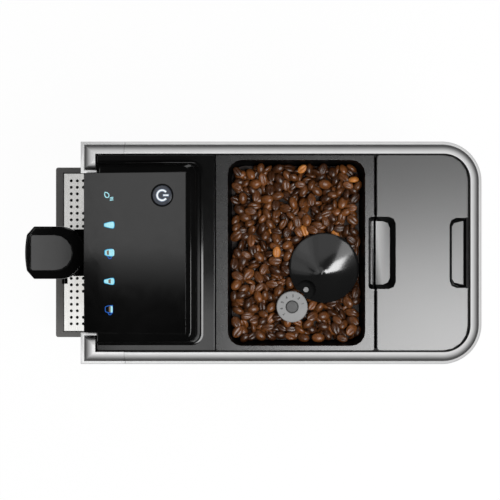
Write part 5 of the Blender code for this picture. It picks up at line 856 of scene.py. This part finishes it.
def dial_marks():
    """The numbers 1 to 7 round the dial, as small raised strokes."""
    bm = bmesh.new()
    middle = (DIAL[0] * MM, DIAL[1] * MM)
    first, step = 151.0, 34.5
    for k in range(7):
        angle = math.radians(first - step * k) - math.pi
        angle = math.radians(107.0 + 34.5 * k)
        radial = (math.cos(angle), math.sin(angle))
        tangent = (-radial[1], radial[0])

        def place(u, v, h, radial=radial, tangent=tangent):
            r = 10.9 * MM + v
            return (
                middle[0] + radial[0] * r - tangent[0] * u,
                middle[1] + radial[1] * r - tangent[1] * u,
                321.3 * MM + h - 0.00001,
            )

        for stroke in DIGITS[str(k + 1)]:
            points = [(x * 1.15 * MM, y * 1.15 * MM) for x, y in stroke]
            ribbon(bm, points, 0.62 * MM, place)
    bmesh.ops.recalc_face_normals(bm, faces=bm.faces)
    return new_piece("dial_marks", bm, [MATERIALS["mark_black"]], "dial")


dial_marks()


def make_screw():
    """The pointer screw: a small round head with a cross slot."""
    bm = bmesh.new()
    lathe(
        bm,
        [(0, 313.4), (2.9, 313.4), (2.9, 314.9), (2.6, 315.25), (2.0, 315.4), (0, 315.4)],
        SCREW, 48,
    )
    bmesh.ops.recalc_face_normals(bm, faces=bm.faces)
    screw = new_piece("pointer_head", bm, [MATERIALS["screw_steel"]], "housing", 35.0)
    for turn in (0.0, math.pi / 2):
        mesh = bpy.data.meshes.new("slot")
        cutter_bm = bmesh.new()
        bmesh.ops.create_cube(cutter_bm, size=1.0)
        cutter_bm.to_mesh(mesh)
        cutter_bm.free()
        cutter = bpy.data.objects.new("slot", mesh)
        bpy.context.scene.collection.objects.link(cutter)
        cutter.matrix_world = (
            Matrix.Translation((SCREW[0] * MM, SCREW[1] * MM, 315.4 * MM))
            @ Matrix.Rotation(turn + 0.5, 4, "Z")
            @ Matrix.Diagonal((3.4 * MM, 0.6 * MM, 1.0 * MM, 1.0))
        )
        cut = screw.modifiers.new("cut", "BOOLEAN")
        cut.solver = "EXACT"
        cut.object = cutter
        bpy.context.view_layer.update()
        bake(screw)
        bpy.data.objects.remove(cutter)
    screw.data.shade_smooth()
    screw.data.set_sharp_from_angle(angle=math.radians(35.0))
    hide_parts("pointer_screw")


make_screw()


# ---------------------------------------------------------------- the beans
def bean_shape(length, width, height):
    """One roasted bean, lying on its flat side with the fold below: vertices and faces in millimetres."""
    rings, around = 8, 14
    turns = [-90, -78, -66, -50, -28, 0, 30, 60, 90, 120, 150, 180, 208, 230, 246, 258]
    turns = [math.radians(t) for t in turns]
    verts, faces = [(-length / 2, 0.0, height * 0.08)], []
    for i in range(1, rings):
        u = math.pi * i / rings
        x, reach = -math.cos(u), math.sin(u)
        for t in turns:
            y, z = math.cos(t) * reach, math.sin(t) * reach
            lift = z * (0.64 if z > 0 else 0.36) * height
            if z < 0:
                bend = 0.09 * math.sin(math.pi * x)
                groove = math.exp(-(((y - bend) / 0.13) ** 2)) * (1 - x * x) ** 0.5
                lift += 0.24 * height * groove
            verts.append((x * length / 2, y * width / 2, lift + height * 0.08))
    verts.append((length / 2, 0.0, height * 0.08))
    n = len(turns)
    for j in range(n):
        faces.append((0, 1 + (j + 1) % n, 1 + j))
    for i in range(rings - 2):
        for j in range(n):
            a, b = 1 + i * n + j, 1 + i * n + (j + 1) % n
            faces.append((a, b, b + n, a + n))
    last = len(verts) - 1
    for j in range(n):
        faces.append((last, last - n + j, last - n + (j + 1) % n))
    return verts, faces


def obstacles():
    """What the beans may not touch, as one tree."""
    bm = bmesh.new()
    for node in ("bean_hopper", "hopper_surround"):
        bm.from_mesh(NODES[node].data)
    for node in ("cone_cover", "dial_knob"):
        bm.from_mesh(bpy.data.objects[node].data)
    tree = BVHTree.FromBMesh(bm)
    bm.free()
    return tree


def spill_beans():
    """Lets beans settle one by one on a height map of the hopper, and keeps those that can be seen."""
    chance = random.Random(41)
    cell = 0.6
    x0, x1, y0, y1 = -90.6, 90.6, -17.2, 115.2
    nx, ny = int((x1 - x0) / cell), int((y1 - y0) / cell)
    xs = x0 + (np.arange(nx) + 0.5) * cell
    ys = y0 + (np.arange(ny) + 0.5) * cell
    gx, gy = np.meshgrid(xs, ys, indexing="ij")
    top = np.full((nx, ny), 299.0)
    owner = np.full((nx, ny), -1)
    under = np.hypot(gx - GRINDER[0], gy - GRINDER[1]) < 33.0
    knob = np.hypot(gx - DIAL[0], gy - DIAL[1]) < 9.0
    tree = obstacles()
    placed = []
    wanted = 1500
    for k in range(wanted):
        best = None
        for _ in range(5):
            x, y = chance.uniform(x0 + 3, x1 - 3), chance.uniform(y0 + 3, y1 - 3)
            i, j = int((x - x0) / cell), int((y - y0) / cell)
            if under[i, j] or knob[i, j]:
                continue
            i0, i1, j0, j1 = max(0, i - 6), i + 7, max(0, j - 6), j + 7
            low = top[i0:i1, j0:j1].mean()
            if best is None or low < best[0]:
                best = (low, x, y)
        if best is None:
            continue
        low, x, y = best
        length = chance.uniform(10.8, 13.8)
        width = length * chance.uniform(0.66, 0.78)
        height = width * chance.uniform(0.56, 0.66)
        kind = chance.random()
        roll = (
            chance.gauss(180, 18) if kind < 0.42
            else chance.gauss(0, 18) if kind < 0.8
            else chance.choice((-1, 1)) * chance.gauss(90, 18)
        )
        turn = (
            Matrix.Rotation(chance.uniform(0, 2 * math.pi), 3, "Z")
            @ Matrix.Rotation(math.radians(chance.gauss(0, 13)), 3, "Y")
            @ Matrix.Rotation(math.radians(roll), 3, "X")
        )
        axes = np.array(turn)
        shape = axes @ np.diag([4 / length**2, 4 / width**2, 4 / height**2]) @ axes.T
        half = int(length / 2 / cell) + 1
        i, j = int((x - x0) / cell), int((y - y0) / cell)
        i0, i1 = max(0, i - half), min(nx, i + half + 1)
        j0, j1 = max(0, j - half), min(ny, j + half + 1)
        dx, dy = gx[i0:i1, j0:j1] - x, gy[i0:i1, j0:j1] - y
        b = shape[0, 2] * dx + shape[1, 2] * dy
        c = shape[0, 0] * dx**2 + 2 * shape[0, 1] * dx * dy + shape[1, 1] * dy**2 - 1
        inside = b * b - shape[2, 2] * c
        on = inside > 0
        if on.sum() < 12:
            continue
        reach = np.sqrt(np.where(on, inside, 0))
        bottom = (-b - reach) / shape[2, 2]
        upper = (-b + reach) / shape[2, 2]
        gap = np.sort((top[i0:i1, j0:j1] - bottom)[on])
        z = gap[int(len(gap) * 0.82)]
        highest = z + upper[on].max()
        if highest > 316.4:
            continue
        verts, faces = bean_shape(length, width, height)
        where = Vector((x, y, z))
        points = [(turn @ Vector(v)) + where for v in verts]
        bean_tree = BVHTree.FromPolygons([p * MM for p in points], faces)
        if tree.overlap(bean_tree):
            continue
        part = top[i0:i1, j0:j1]
        held = owner[i0:i1, j0:j1]
        higher = on & (z + upper > part)
        part[higher] = (z + upper)[higher]
        held[higher] = len(placed)
        placed.append((points, faces, chance.random()))
    shown = np.bincount(owner[owner >= 0].ravel(), minlength=len(placed))
    verts, polys, tones = [], [], []
    for index, (points, faces, tone) in enumerate(placed):
        if shown[index] < 10:
            continue
        start = len(verts)
        verts += [p * MM for p in points]
        polys += [tuple(start + v for v in face) for face in faces]
        kind = 0 if tone < 0.36 else 1 if tone < 0.76 else 2 if tone < 0.965 else 3
        tones += [kind] * len(faces)
    print("beans", len(placed), "shown", int((shown >= 10).sum()), "faces", len(polys), "level", top.mean())
    mesh = bpy.data.meshes.new("beans")
    mesh.from_pydata(verts, [], polys)
    mesh.polygons.foreach_set("material_index", tones)
    beans = new_piece("coffee_beans", mesh, BEAN_TONES, "housing", 0)
    beans.data.shade_smooth()
    return beans


def bean_bed():
    """The lower beans that only show between the others: the load's own solid, a little lower, coloured darker than the
    top beans as painted shade in the gaps.
    """
    mesh = NODES["bean_load"].data.copy()
    low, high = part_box("bean_load")
    span = high.z - low.z
    middle = ((low.x + high.x) / 2, (low.y + high.y) / 2)
    for vert in mesh.vertices:
        share = (vert.co.z - low.z) / span
        vert.co.z = low.z + (vert.co.z - low.z) * (1 - 0.3 * share * share)
        inwards = 1 - 0.02 * share
        vert.co.x = middle[0] + (vert.co.x - middle[0]) * inwards
        vert.co.y = middle[1] + (vert.co.y - middle[1]) * inwards
    mesh.materials.clear()
    bed = new_piece("bean_bed", mesh, [MATERIALS["bean_brown"]], "housing", 0)
    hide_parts("bean_load")
    return bed


bean_bed()
spill_beans()


# ---------------------------------------------------------------- symbols on the control panel
def on_panel(x, y):
    """A function that lays (u to the right, v to the rear) in metres and a height on the panel, round a point of it."""
    normal = Vector((0, -math.sin(PANEL_SLOPE), math.cos(PANEL_SLOPE)))
    rearwards = Vector((0, math.cos(PANEL_SLOPE), math.sin(PANEL_SLOPE)))
    z = PANEL_FRONT[1] + (y - PANEL_FRONT[0]) * math.tan(PANEL_SLOPE)
    middle = Vector((x, y, z)) * MM

    def place(u, v, h):
        return middle + Vector((u, 0, 0)) + rearwards * v + normal * (h + 0.00001)

    return place


def scaled(points, size=1.0):
    return [(x * size * MM, y * size * MM) for x, y in points]


def arc_points(cx, cy, radius, start, end, steps):
    return [
        (
            cx + radius * math.cos(math.radians(start + (end - start) * i / steps)),
            cy + radius * math.sin(math.radians(start + (end - start) * i / steps)),
        )
        for i in range(steps + 1)
    ]


def glass_outline(low, high, base, rim):
    """A tall glass seen from the side: rounded foot, sides that swell, and a domed head."""
    tall = high - low
    half = [
        (base * 0.55, low), (base * 0.9, low + 0.02 * tall), (base * 1.1, low + 0.07 * tall),
        (base + (rim - base) * 0.45, low + 0.3 * tall), (base + (rim - base) * 0.82, low + 0.55 * tall),
        (rim * 0.99, low + 0.74 * tall), (rim, low + 0.84 * tall), (rim * 0.94, low + 0.91 * tall),
        (rim * 0.76, low + 0.96 * tall), (rim * 0.4, low + 0.99 * tall),
    ]
    return [(0.0, low), *half, (0.0, high)] + [(-x, y) for x, y in reversed(half)]


def cup_outline(low, high, base, rim):
    points = [(-base, low), (base, low)]
    points += [(base + (rim - base) * math.sin(t), low + (high - low) * (1 - math.cos(t))) for t in
               [math.radians(a) for a in (18, 36, 54, 72, 90)]]
    points += [(-x, y) for x, y in reversed(points[2:])]
    return points


def panel_icon(name, x, shapes):
    """One lit symbol on the panel, made of filled shapes and lines."""
    bm = bmesh.new()
    place = on_panel(x, -137.8)
    for kind, points, width, index, height in shapes:
        if kind == "fill":
            filled(bm, scaled(points), place, index, height)
        else:
            ribbon(bm, scaled(points), width * MM, place, index, height, closed=kind == "ring")
    bmesh.ops.recalc_face_normals(bm, faces=bm.faces)
    return new_piece(
        name, bm, [CYAN, CYAN_EDGE, BLUE, COFFEE], "housing", 0
    )


STEPS_RING = arc_points(-1.6, -1.4, 2.1, 0, 345, 20)
drop = [(-3.6 + 0.0, -3.9)] + arc_points(-1.2, -1.4, 2.3, -150, 160, 16)
steam = [
    [(x + 0.35 * math.sin(t * 2.2), 0.6 + t * 1.15) for t in (0, 0.5, 1.0, 1.5, 2.0, 2.5, 3.0)]
    for x in (0.9, 2.2, 3.5)
]
panel_icon(
    "icon_steam", -56.0,
    [("ring", [(-4.5, -4.4), (-4.0, -2.3), (-2.8, -0.7), (-0.7, -0.3), (0.8, -1.4), (0.7, -3.3), (-0.9, -4.6), (-2.8, -4.9)], 0.9, 0, 0.00006)]
    + [("line", line, 0.66, 0, 0.00006) for line in steam],
)
panel_icon(
    "icon_milk", -27.8,
    [
        ("fill", glass_outline(-5.6, 5.4, 1.7, 3.5), 0, 1, 0.00005),
        ("fill", glass_outline(-5.1, 4.9, 1.25, 3.0), 0, 0, 0.00007),
    ],
)
panel_icon(
    "icon_cappuccino", -0.2,
    [
        ("fill", cup_outline(-5.0, 3.2, 1.9, 3.9), 0, 1, 0.00005),
        ("fill", [(-3.5, 3.0), (3.5, 3.0), (3.2, 4.6), (1.8, 5.1), (-1.8, 5.1), (-3.2, 4.6)], 0, 0, 0.00007),
        ("fill", cup_outline(-4.2, 2.8, 1.5, 3.2), 0, 0, 0.00007),
        ("fill", [(-1.9, -2.6), (1.9, -2.6), (2.5, -0.4), (-2.5, -0.4)], 0, 3, 0.00009),
        ("line", [(3.9, 2.0), (5.4, 1.9), (6.0, 0.7), (5.4, -0.9), (3.6, -1.8)], 0.6, 2, 0.00006),
    ],
)
panel_icon(
    "icon_latte", 28.4,
    [
        ("fill", glass_outline(-5.6, 5.4, 1.7, 3.5), 0, 1, 0.00005),
        ("fill", glass_outline(-5.1, 4.9, 1.25, 3.0), 0, 0, 0.00007),
        ("fill", [(-1.7, -0.9), (1.7, -0.9), (2.2, 1.5), (-2.2, 1.5)], 0, 3, 0.00009),
    ],
)
panel_icon(
    "icon_espresso", 56.2,
    [
        ("ring", cup_outline(-4.2, 3.3, 1.8, 3.7), 0.65, 2, 0.00006),
        ("fill", [(-3.2, 1.4), (3.2, 1.4), (3.3, 2.9), (2.4, 3.4), (-2.4, 3.4), (-3.3, 2.9)], 0, 0, 0.00008),
        ("fill", [(-2.6, -0.4), (2.6, -0.4), (3.0, 1.3), (-3.0, 1.3)], 0, 3, 0.00008),
        ("line", [(3.8, 2.0), (5.2, 1.9), (5.7, 0.8), (5.1, -0.6), (3.5, -1.5)], 0.6, 2, 0.00006),
    ],
)


def power_symbol():
    """The lit ring and bar of the power button, with a dim light round them."""
    bm = bmesh.new()
    place = on_panel(-57.0, -84.5)
    ring = scaled(arc_points(0, 0, 5.0, 128, 412, 48))
    ribbon(bm, ring, 2.7 * MM, place, 1, 0.00004)
    ribbon(bm, scaled([(0, 0.6), (0, 7.0)]), 2.4 * MM, place, 1, 0.00003)
    ribbon(bm, ring, 1.55 * MM, place, 0, 0.00007)
    ribbon(bm, scaled([(0, 1.2), (0, 6.5)]), 1.35 * MM, place, 0, 0.00008)
    bmesh.ops.recalc_face_normals(bm, faces=bm.faces)
    return new_piece("power_symbol", bm, [WHITE, HALO], "button", 0)


def button_gap():
    """The black ring between the power button and the panel: painted shade in the gap round the button."""
    bm = bmesh.new()
    ring = scaled(arc_points(0, 0, 10.75, 0, 352.5, 48))
    ribbon(bm, ring, 1.5 * MM, on_panel(-57.0, -84.5), 0, 0.00007, closed=True)
    bmesh.ops.recalc_face_normals(bm, faces=bm.faces)
    return new_piece("button_gap", bm, [MATERIALS["painted_shade_black"]], "housing", 0)


power_symbol()
button_gap()


# ---------------------------------------------------------------- room, lamps and camera
def plain(name, colour, rough=0.9):
    material, tree, shader = start_material(name)
    shader.inputs["Base Color"].default_value = (*colour, 1.0)
    shader.inputs["Roughness"].default_value = rough
    shader.inputs["Specular IOR Level"].default_value = 0.1
    return material, tree, shader


def seen_directly(tree):
    """1 for what the camera sees, straight or by way of metal and glass."""
    path = tree.nodes.new("ShaderNodeLightPath")
    total = path.outputs["Is Camera Ray"]
    for output in ("Is Glossy Ray", "Is Transmission Ray"):
        both = tree.nodes.new("ShaderNodeMath")
        both.operation = "MAXIMUM"
        tree.links.new(total, both.inputs[0])
        tree.links.new(path.outputs[output], both.inputs[1])
        total = both.outputs[0]
    return total


def make_floor():
    bm = bmesh.new()
    bmesh.ops.create_grid(bm, x_segments=1, y_segments=1, size=12.0)
    mesh = bpy.data.meshes.new("floor")
    bm.to_mesh(mesh)
    bm.free()
    floor = bpy.data.objects.new("floor", mesh)
    bpy.context.scene.collection.objects.link(floor)
    material, tree, shader = plain("floor", (0.95, 0.95, 0.95))
    out = next(n for n in tree.nodes if n.type == "OUTPUT_MATERIAL")
    glow = tree.nodes.new("ShaderNodeEmission")
    share = tree.nodes.new("ShaderNodeMath")
    share.operation = "MULTIPLY"
    share.inputs[1].default_value = 0.965
    mix = tree.nodes.new("ShaderNodeMixShader")
    tree.links.new(seen_directly(tree), share.inputs[0])
    tree.links.new(share.outputs[0], mix.inputs[0])
    tree.links.new(shader.outputs[0], mix.inputs[1])
    tree.links.new(glow.outputs[0], mix.inputs[2])
    tree.links.new(mix.outputs[0], out.inputs["Surface"])
    mesh.materials.append(material)


def area_lamp(name, place, aim, width, height, level):
    """A soft box of a given brightness, as seen from the object."""
    data = bpy.data.lights.new(name, "AREA")
    data.shape = "RECTANGLE"
    data.size, data.size_y = width, height
    data.energy = level * math.pi * width * height
    lamp = bpy.data.objects.new(name, data)
    bpy.context.scene.collection.objects.link(lamp)
    lamp.location = place
    direction = Vector(aim) - Vector(place)
    lamp.rotation_euler = direction.to_track_quat("-Z", "Y").to_euler()
    lamp.visible_camera = False
    return lamp


def make_room():
    world = bpy.data.worlds.new("room")
    bpy.context.scene.world = world
    world.use_nodes = True
    tree = world.node_tree
    tree.nodes.clear()
    out = tree.nodes.new("ShaderNodeOutputWorld")
    room = tree.nodes.new("ShaderNodeBackground")
    white = tree.nodes.new("ShaderNodeBackground")
    white.inputs["Color"].default_value = (1.0, 1.0, 1.0, 1.0)
    white.inputs["Strength"].default_value = 1.0
    mix = tree.nodes.new("ShaderNodeMixShader")
    room.inputs["Color"].default_value = (1.0, 1.0, 1.0, 1.0)
    room.inputs["Strength"].default_value = 0.3
    tree.links.new(seen_directly(tree), mix.inputs[0])
    tree.links.new(room.outputs[0], mix.inputs[1])
    tree.links.new(white.outputs[0], mix.inputs[2])
    tree.links.new(mix.outputs[0], out.inputs[0])


def circle_points(radius, steps):
    turn = 2 * math.pi / steps
    return [(radius * math.cos(i * turn), radius * math.sin(i * turn)) for i in range(steps)]


TENT_REACH = 2.6
TENT_LEVELS = [(0.0, 0.06), (0.05, 0.14), (0.34, 0.29), (0.57, 0.5), (0.78, 0.74), (0.92, 0.95), (1.0, 1.05)]
# Brighter and darker places overhead: left, right, front and rear edge on a plane 1.8 m up, softness, and gain
PATCHES = [
    (-0.6, -0.02, -0.8, -0.3, 0.14, -0.68),
    (0.08, 0.5, -0.8, -0.2, 0.16, 1.3),
]


def maths(tree, operation, a, b):
    node = tree.nodes.new("ShaderNodeMath")
    node.operation = operation
    for socket, value in zip(node.inputs, (a, b)):
        if isinstance(value, (int, float)):
            socket.default_value = value
        else:
            tree.links.new(value, socket)
    return node.outputs[0]


def soft_box(tree, u, v, patch):
    """A rectangle with soft edges on the plane overhead, times its gain."""
    u0, u1, v0, v1, soft, gain = patch
    total = gain
    for value, start, end in ((u, u0 - soft, u0 + soft), (u, u1 + soft, u1 - soft),
                              (v, v0 - soft, v0 + soft), (v, v1 + soft, v1 - soft)):
        edge = tree.nodes.new("ShaderNodeMapRange")
        edge.interpolation_type = "SMOOTHSTEP"
        edge.inputs["From Min"].default_value = start
        edge.inputs["From Max"].default_value = end
        tree.links.new(value, edge.inputs["Value"])
        total = maths(tree, "MULTIPLY", edge.outputs["Result"], total)
    return total


def make_tent():
    """The light tent that shines in gloss and metal: dim low down, bright overhead, with soft boxes in it."""
    bm = bmesh.new()
    steps, levels = 64, 24
    rings = []
    for radius in (0.32, 1.0, 2.0):
        rings.append([bm.verts.new((x, y, 0.002)) for x, y in circle_points(radius, steps)])
    for k in range(levels):
        a = math.pi / 2 * k / levels
        ring = circle_points(TENT_REACH * math.cos(a), steps)
        rings.append([bm.verts.new((x, y, 0.002 + TENT_REACH * math.sin(a))) for x, y in ring])
    rings.append([bm.verts.new((0, 0, TENT_REACH + 0.002))] * steps)
    loop_faces(bm, rings)
    mesh = bpy.data.meshes.new("tent")
    bm.to_mesh(mesh)
    bm.free()
    tent = bpy.data.objects.new("tent", mesh)
    bpy.context.scene.collection.objects.link(tent)
    material, tree, shader = start_material("tent")
    place = tree.nodes.new("ShaderNodeTexCoord")
    split = tree.nodes.new("ShaderNodeSeparateXYZ")
    tree.links.new(place.outputs["Object"], split.inputs[0])
    height = maths(tree, "DIVIDE", split.outputs[2], TENT_REACH)
    level = ramp(tree, height, [(t, grey(value)) for t, value in TENT_LEVELS])
    up = maths(tree, "MAXIMUM", split.outputs[2], 0.2)
    u = maths(tree, "MULTIPLY", maths(tree, "DIVIDE", split.outputs[0], up), 1.8)
    v = maths(tree, "MULTIPLY", maths(tree, "DIVIDE", split.outputs[1], up), 1.8)
    for patch in PATCHES:
        level = maths(tree, "ADD", level, soft_box(tree, u, v, patch))
    glow = tree.nodes.new("ShaderNodeEmission")
    tree.links.new(maths(tree, "MAXIMUM", level, 0.04), glow.inputs["Strength"])
    out = next(n for n in tree.nodes if n.type == "OUTPUT_MATERIAL")
    tree.links.new(glow.outputs[0], out.inputs["Surface"])
    tree.nodes.remove(shader)
    material.cycles.emission_sampling = "NONE"
    mesh.materials.append(material)
    tent.visible_camera = False
    tent.visible_diffuse = False
    tent.visible_transmission = False
    tent.visible_shadow = False
    return tent


def light_only(lamp, pieces):
    """Keeps a lamp or the tent to some pieces, as flags and cards do in a studio."""
    group = bpy.data.collections.new(lamp.name + "_on")
    for piece in pieces:
        group.objects.link(piece)
    lamp.light_linking.receiver_collection = group


def make_lamps():
    metals = {MATERIALS[name] for name in METALS}
    meshes = [o for o in bpy.context.scene.objects if o.type == "MESH"]
    metal = [o for o in meshes if any(m in metals for m in o.data.materials)]
    cone_only = [bpy.data.objects["cone_cover"]]
    rest = [o for o in meshes if o not in metal and o not in cone_only]
    light_only(make_tent(), metal)
    for lamp in (
        area_lamp("key", (0.56, 0.67, 1.8), (0.56, 0.67, 0.0), 1.12, 1.1, 9.0),
        area_lamp("front_fill_1", (-0.39, -0.79, 1.8), (-0.39, -0.79, 0.0), 0.8, 0.36, 1.5),
        area_lamp("front_fill_2", (-0.02, -0.75, 1.8), (-0.02, -0.75, 0.0), 0.13, 0.28, 0.8),
        area_lamp("front_fill_3", (0.02, -0.75, 1.8), (0.02, -0.75, 0.0), 0.12, 0.28, 0.4),
        area_lamp("left_fill", (-1.6, 0.1, 0.9), (0.0, 0.0, 0.15), 0.5, 1.6, 1.6),
        area_lamp("low_front", (0.2, -1.9, 0.8), (0.0, 0.0, 0.15), 1.2, 0.5, 1.6),
    ):
        light_only(lamp, rest)
    sheen = area_lamp("sheen_card", (0.32, -0.18, 1.8), (0.32, -0.18, 0.0), 0.45, 0.32, 2.2)
    light_only(sheen, [SKINS["front_cover"]])
    for name, x, y, width, height, level in CONE_CARDS:
        light_only(area_lamp(name, (x, y, 1.8), (x, y, 0.0), width, height, level), cone_only)


METALS = ("satin_silver", "steel_plate", "burr_steel", "heater_metal", "screw_steel")
CONE_CARDS = [
    ("wedge_card", -0.21, 0.89, 0.42, 0.28, 20.0),
    ("faint_card", -0.66, 0.96, 0.48, 0.42, 4.0),
    ("soft_card_1", -0.86, -0.59, 0.4, 0.4, 1.4),
    ("soft_card_2", -0.86, -0.59, 0.75, 0.75, 1.1),
    ("soft_card_3", -0.84, -0.59, 1.1, 1.2, 0.8),
    ("soft_card_4", -0.35, -1.05, 0.9, 0.6, 0.9),
    ("soft_card_5", 0.05, -1.1, 0.5, 0.5, 0.5),
    ("soft_card_6", -1.05, 0.3, 0.8, 0.9, 0.9),
]


def make_camera():
    data = bpy.data.cameras.new("camera")
    data.sensor_width = 36.0
    data.lens = 86.4
    camera = bpy.data.objects.new("camera", data)
    bpy.context.scene.collection.objects.link(camera)
    camera.location = (-2.85 * MM, 2.45 * MM, 1530 * MM)
    camera.rotation_euler = (0.0, 0.0, math.pi / 2)
    bpy.context.scene.camera = camera


make_floor()
make_room()
make_lamps()
make_camera()
bpy.context.scene.view_settings.view_transform = "Standard"
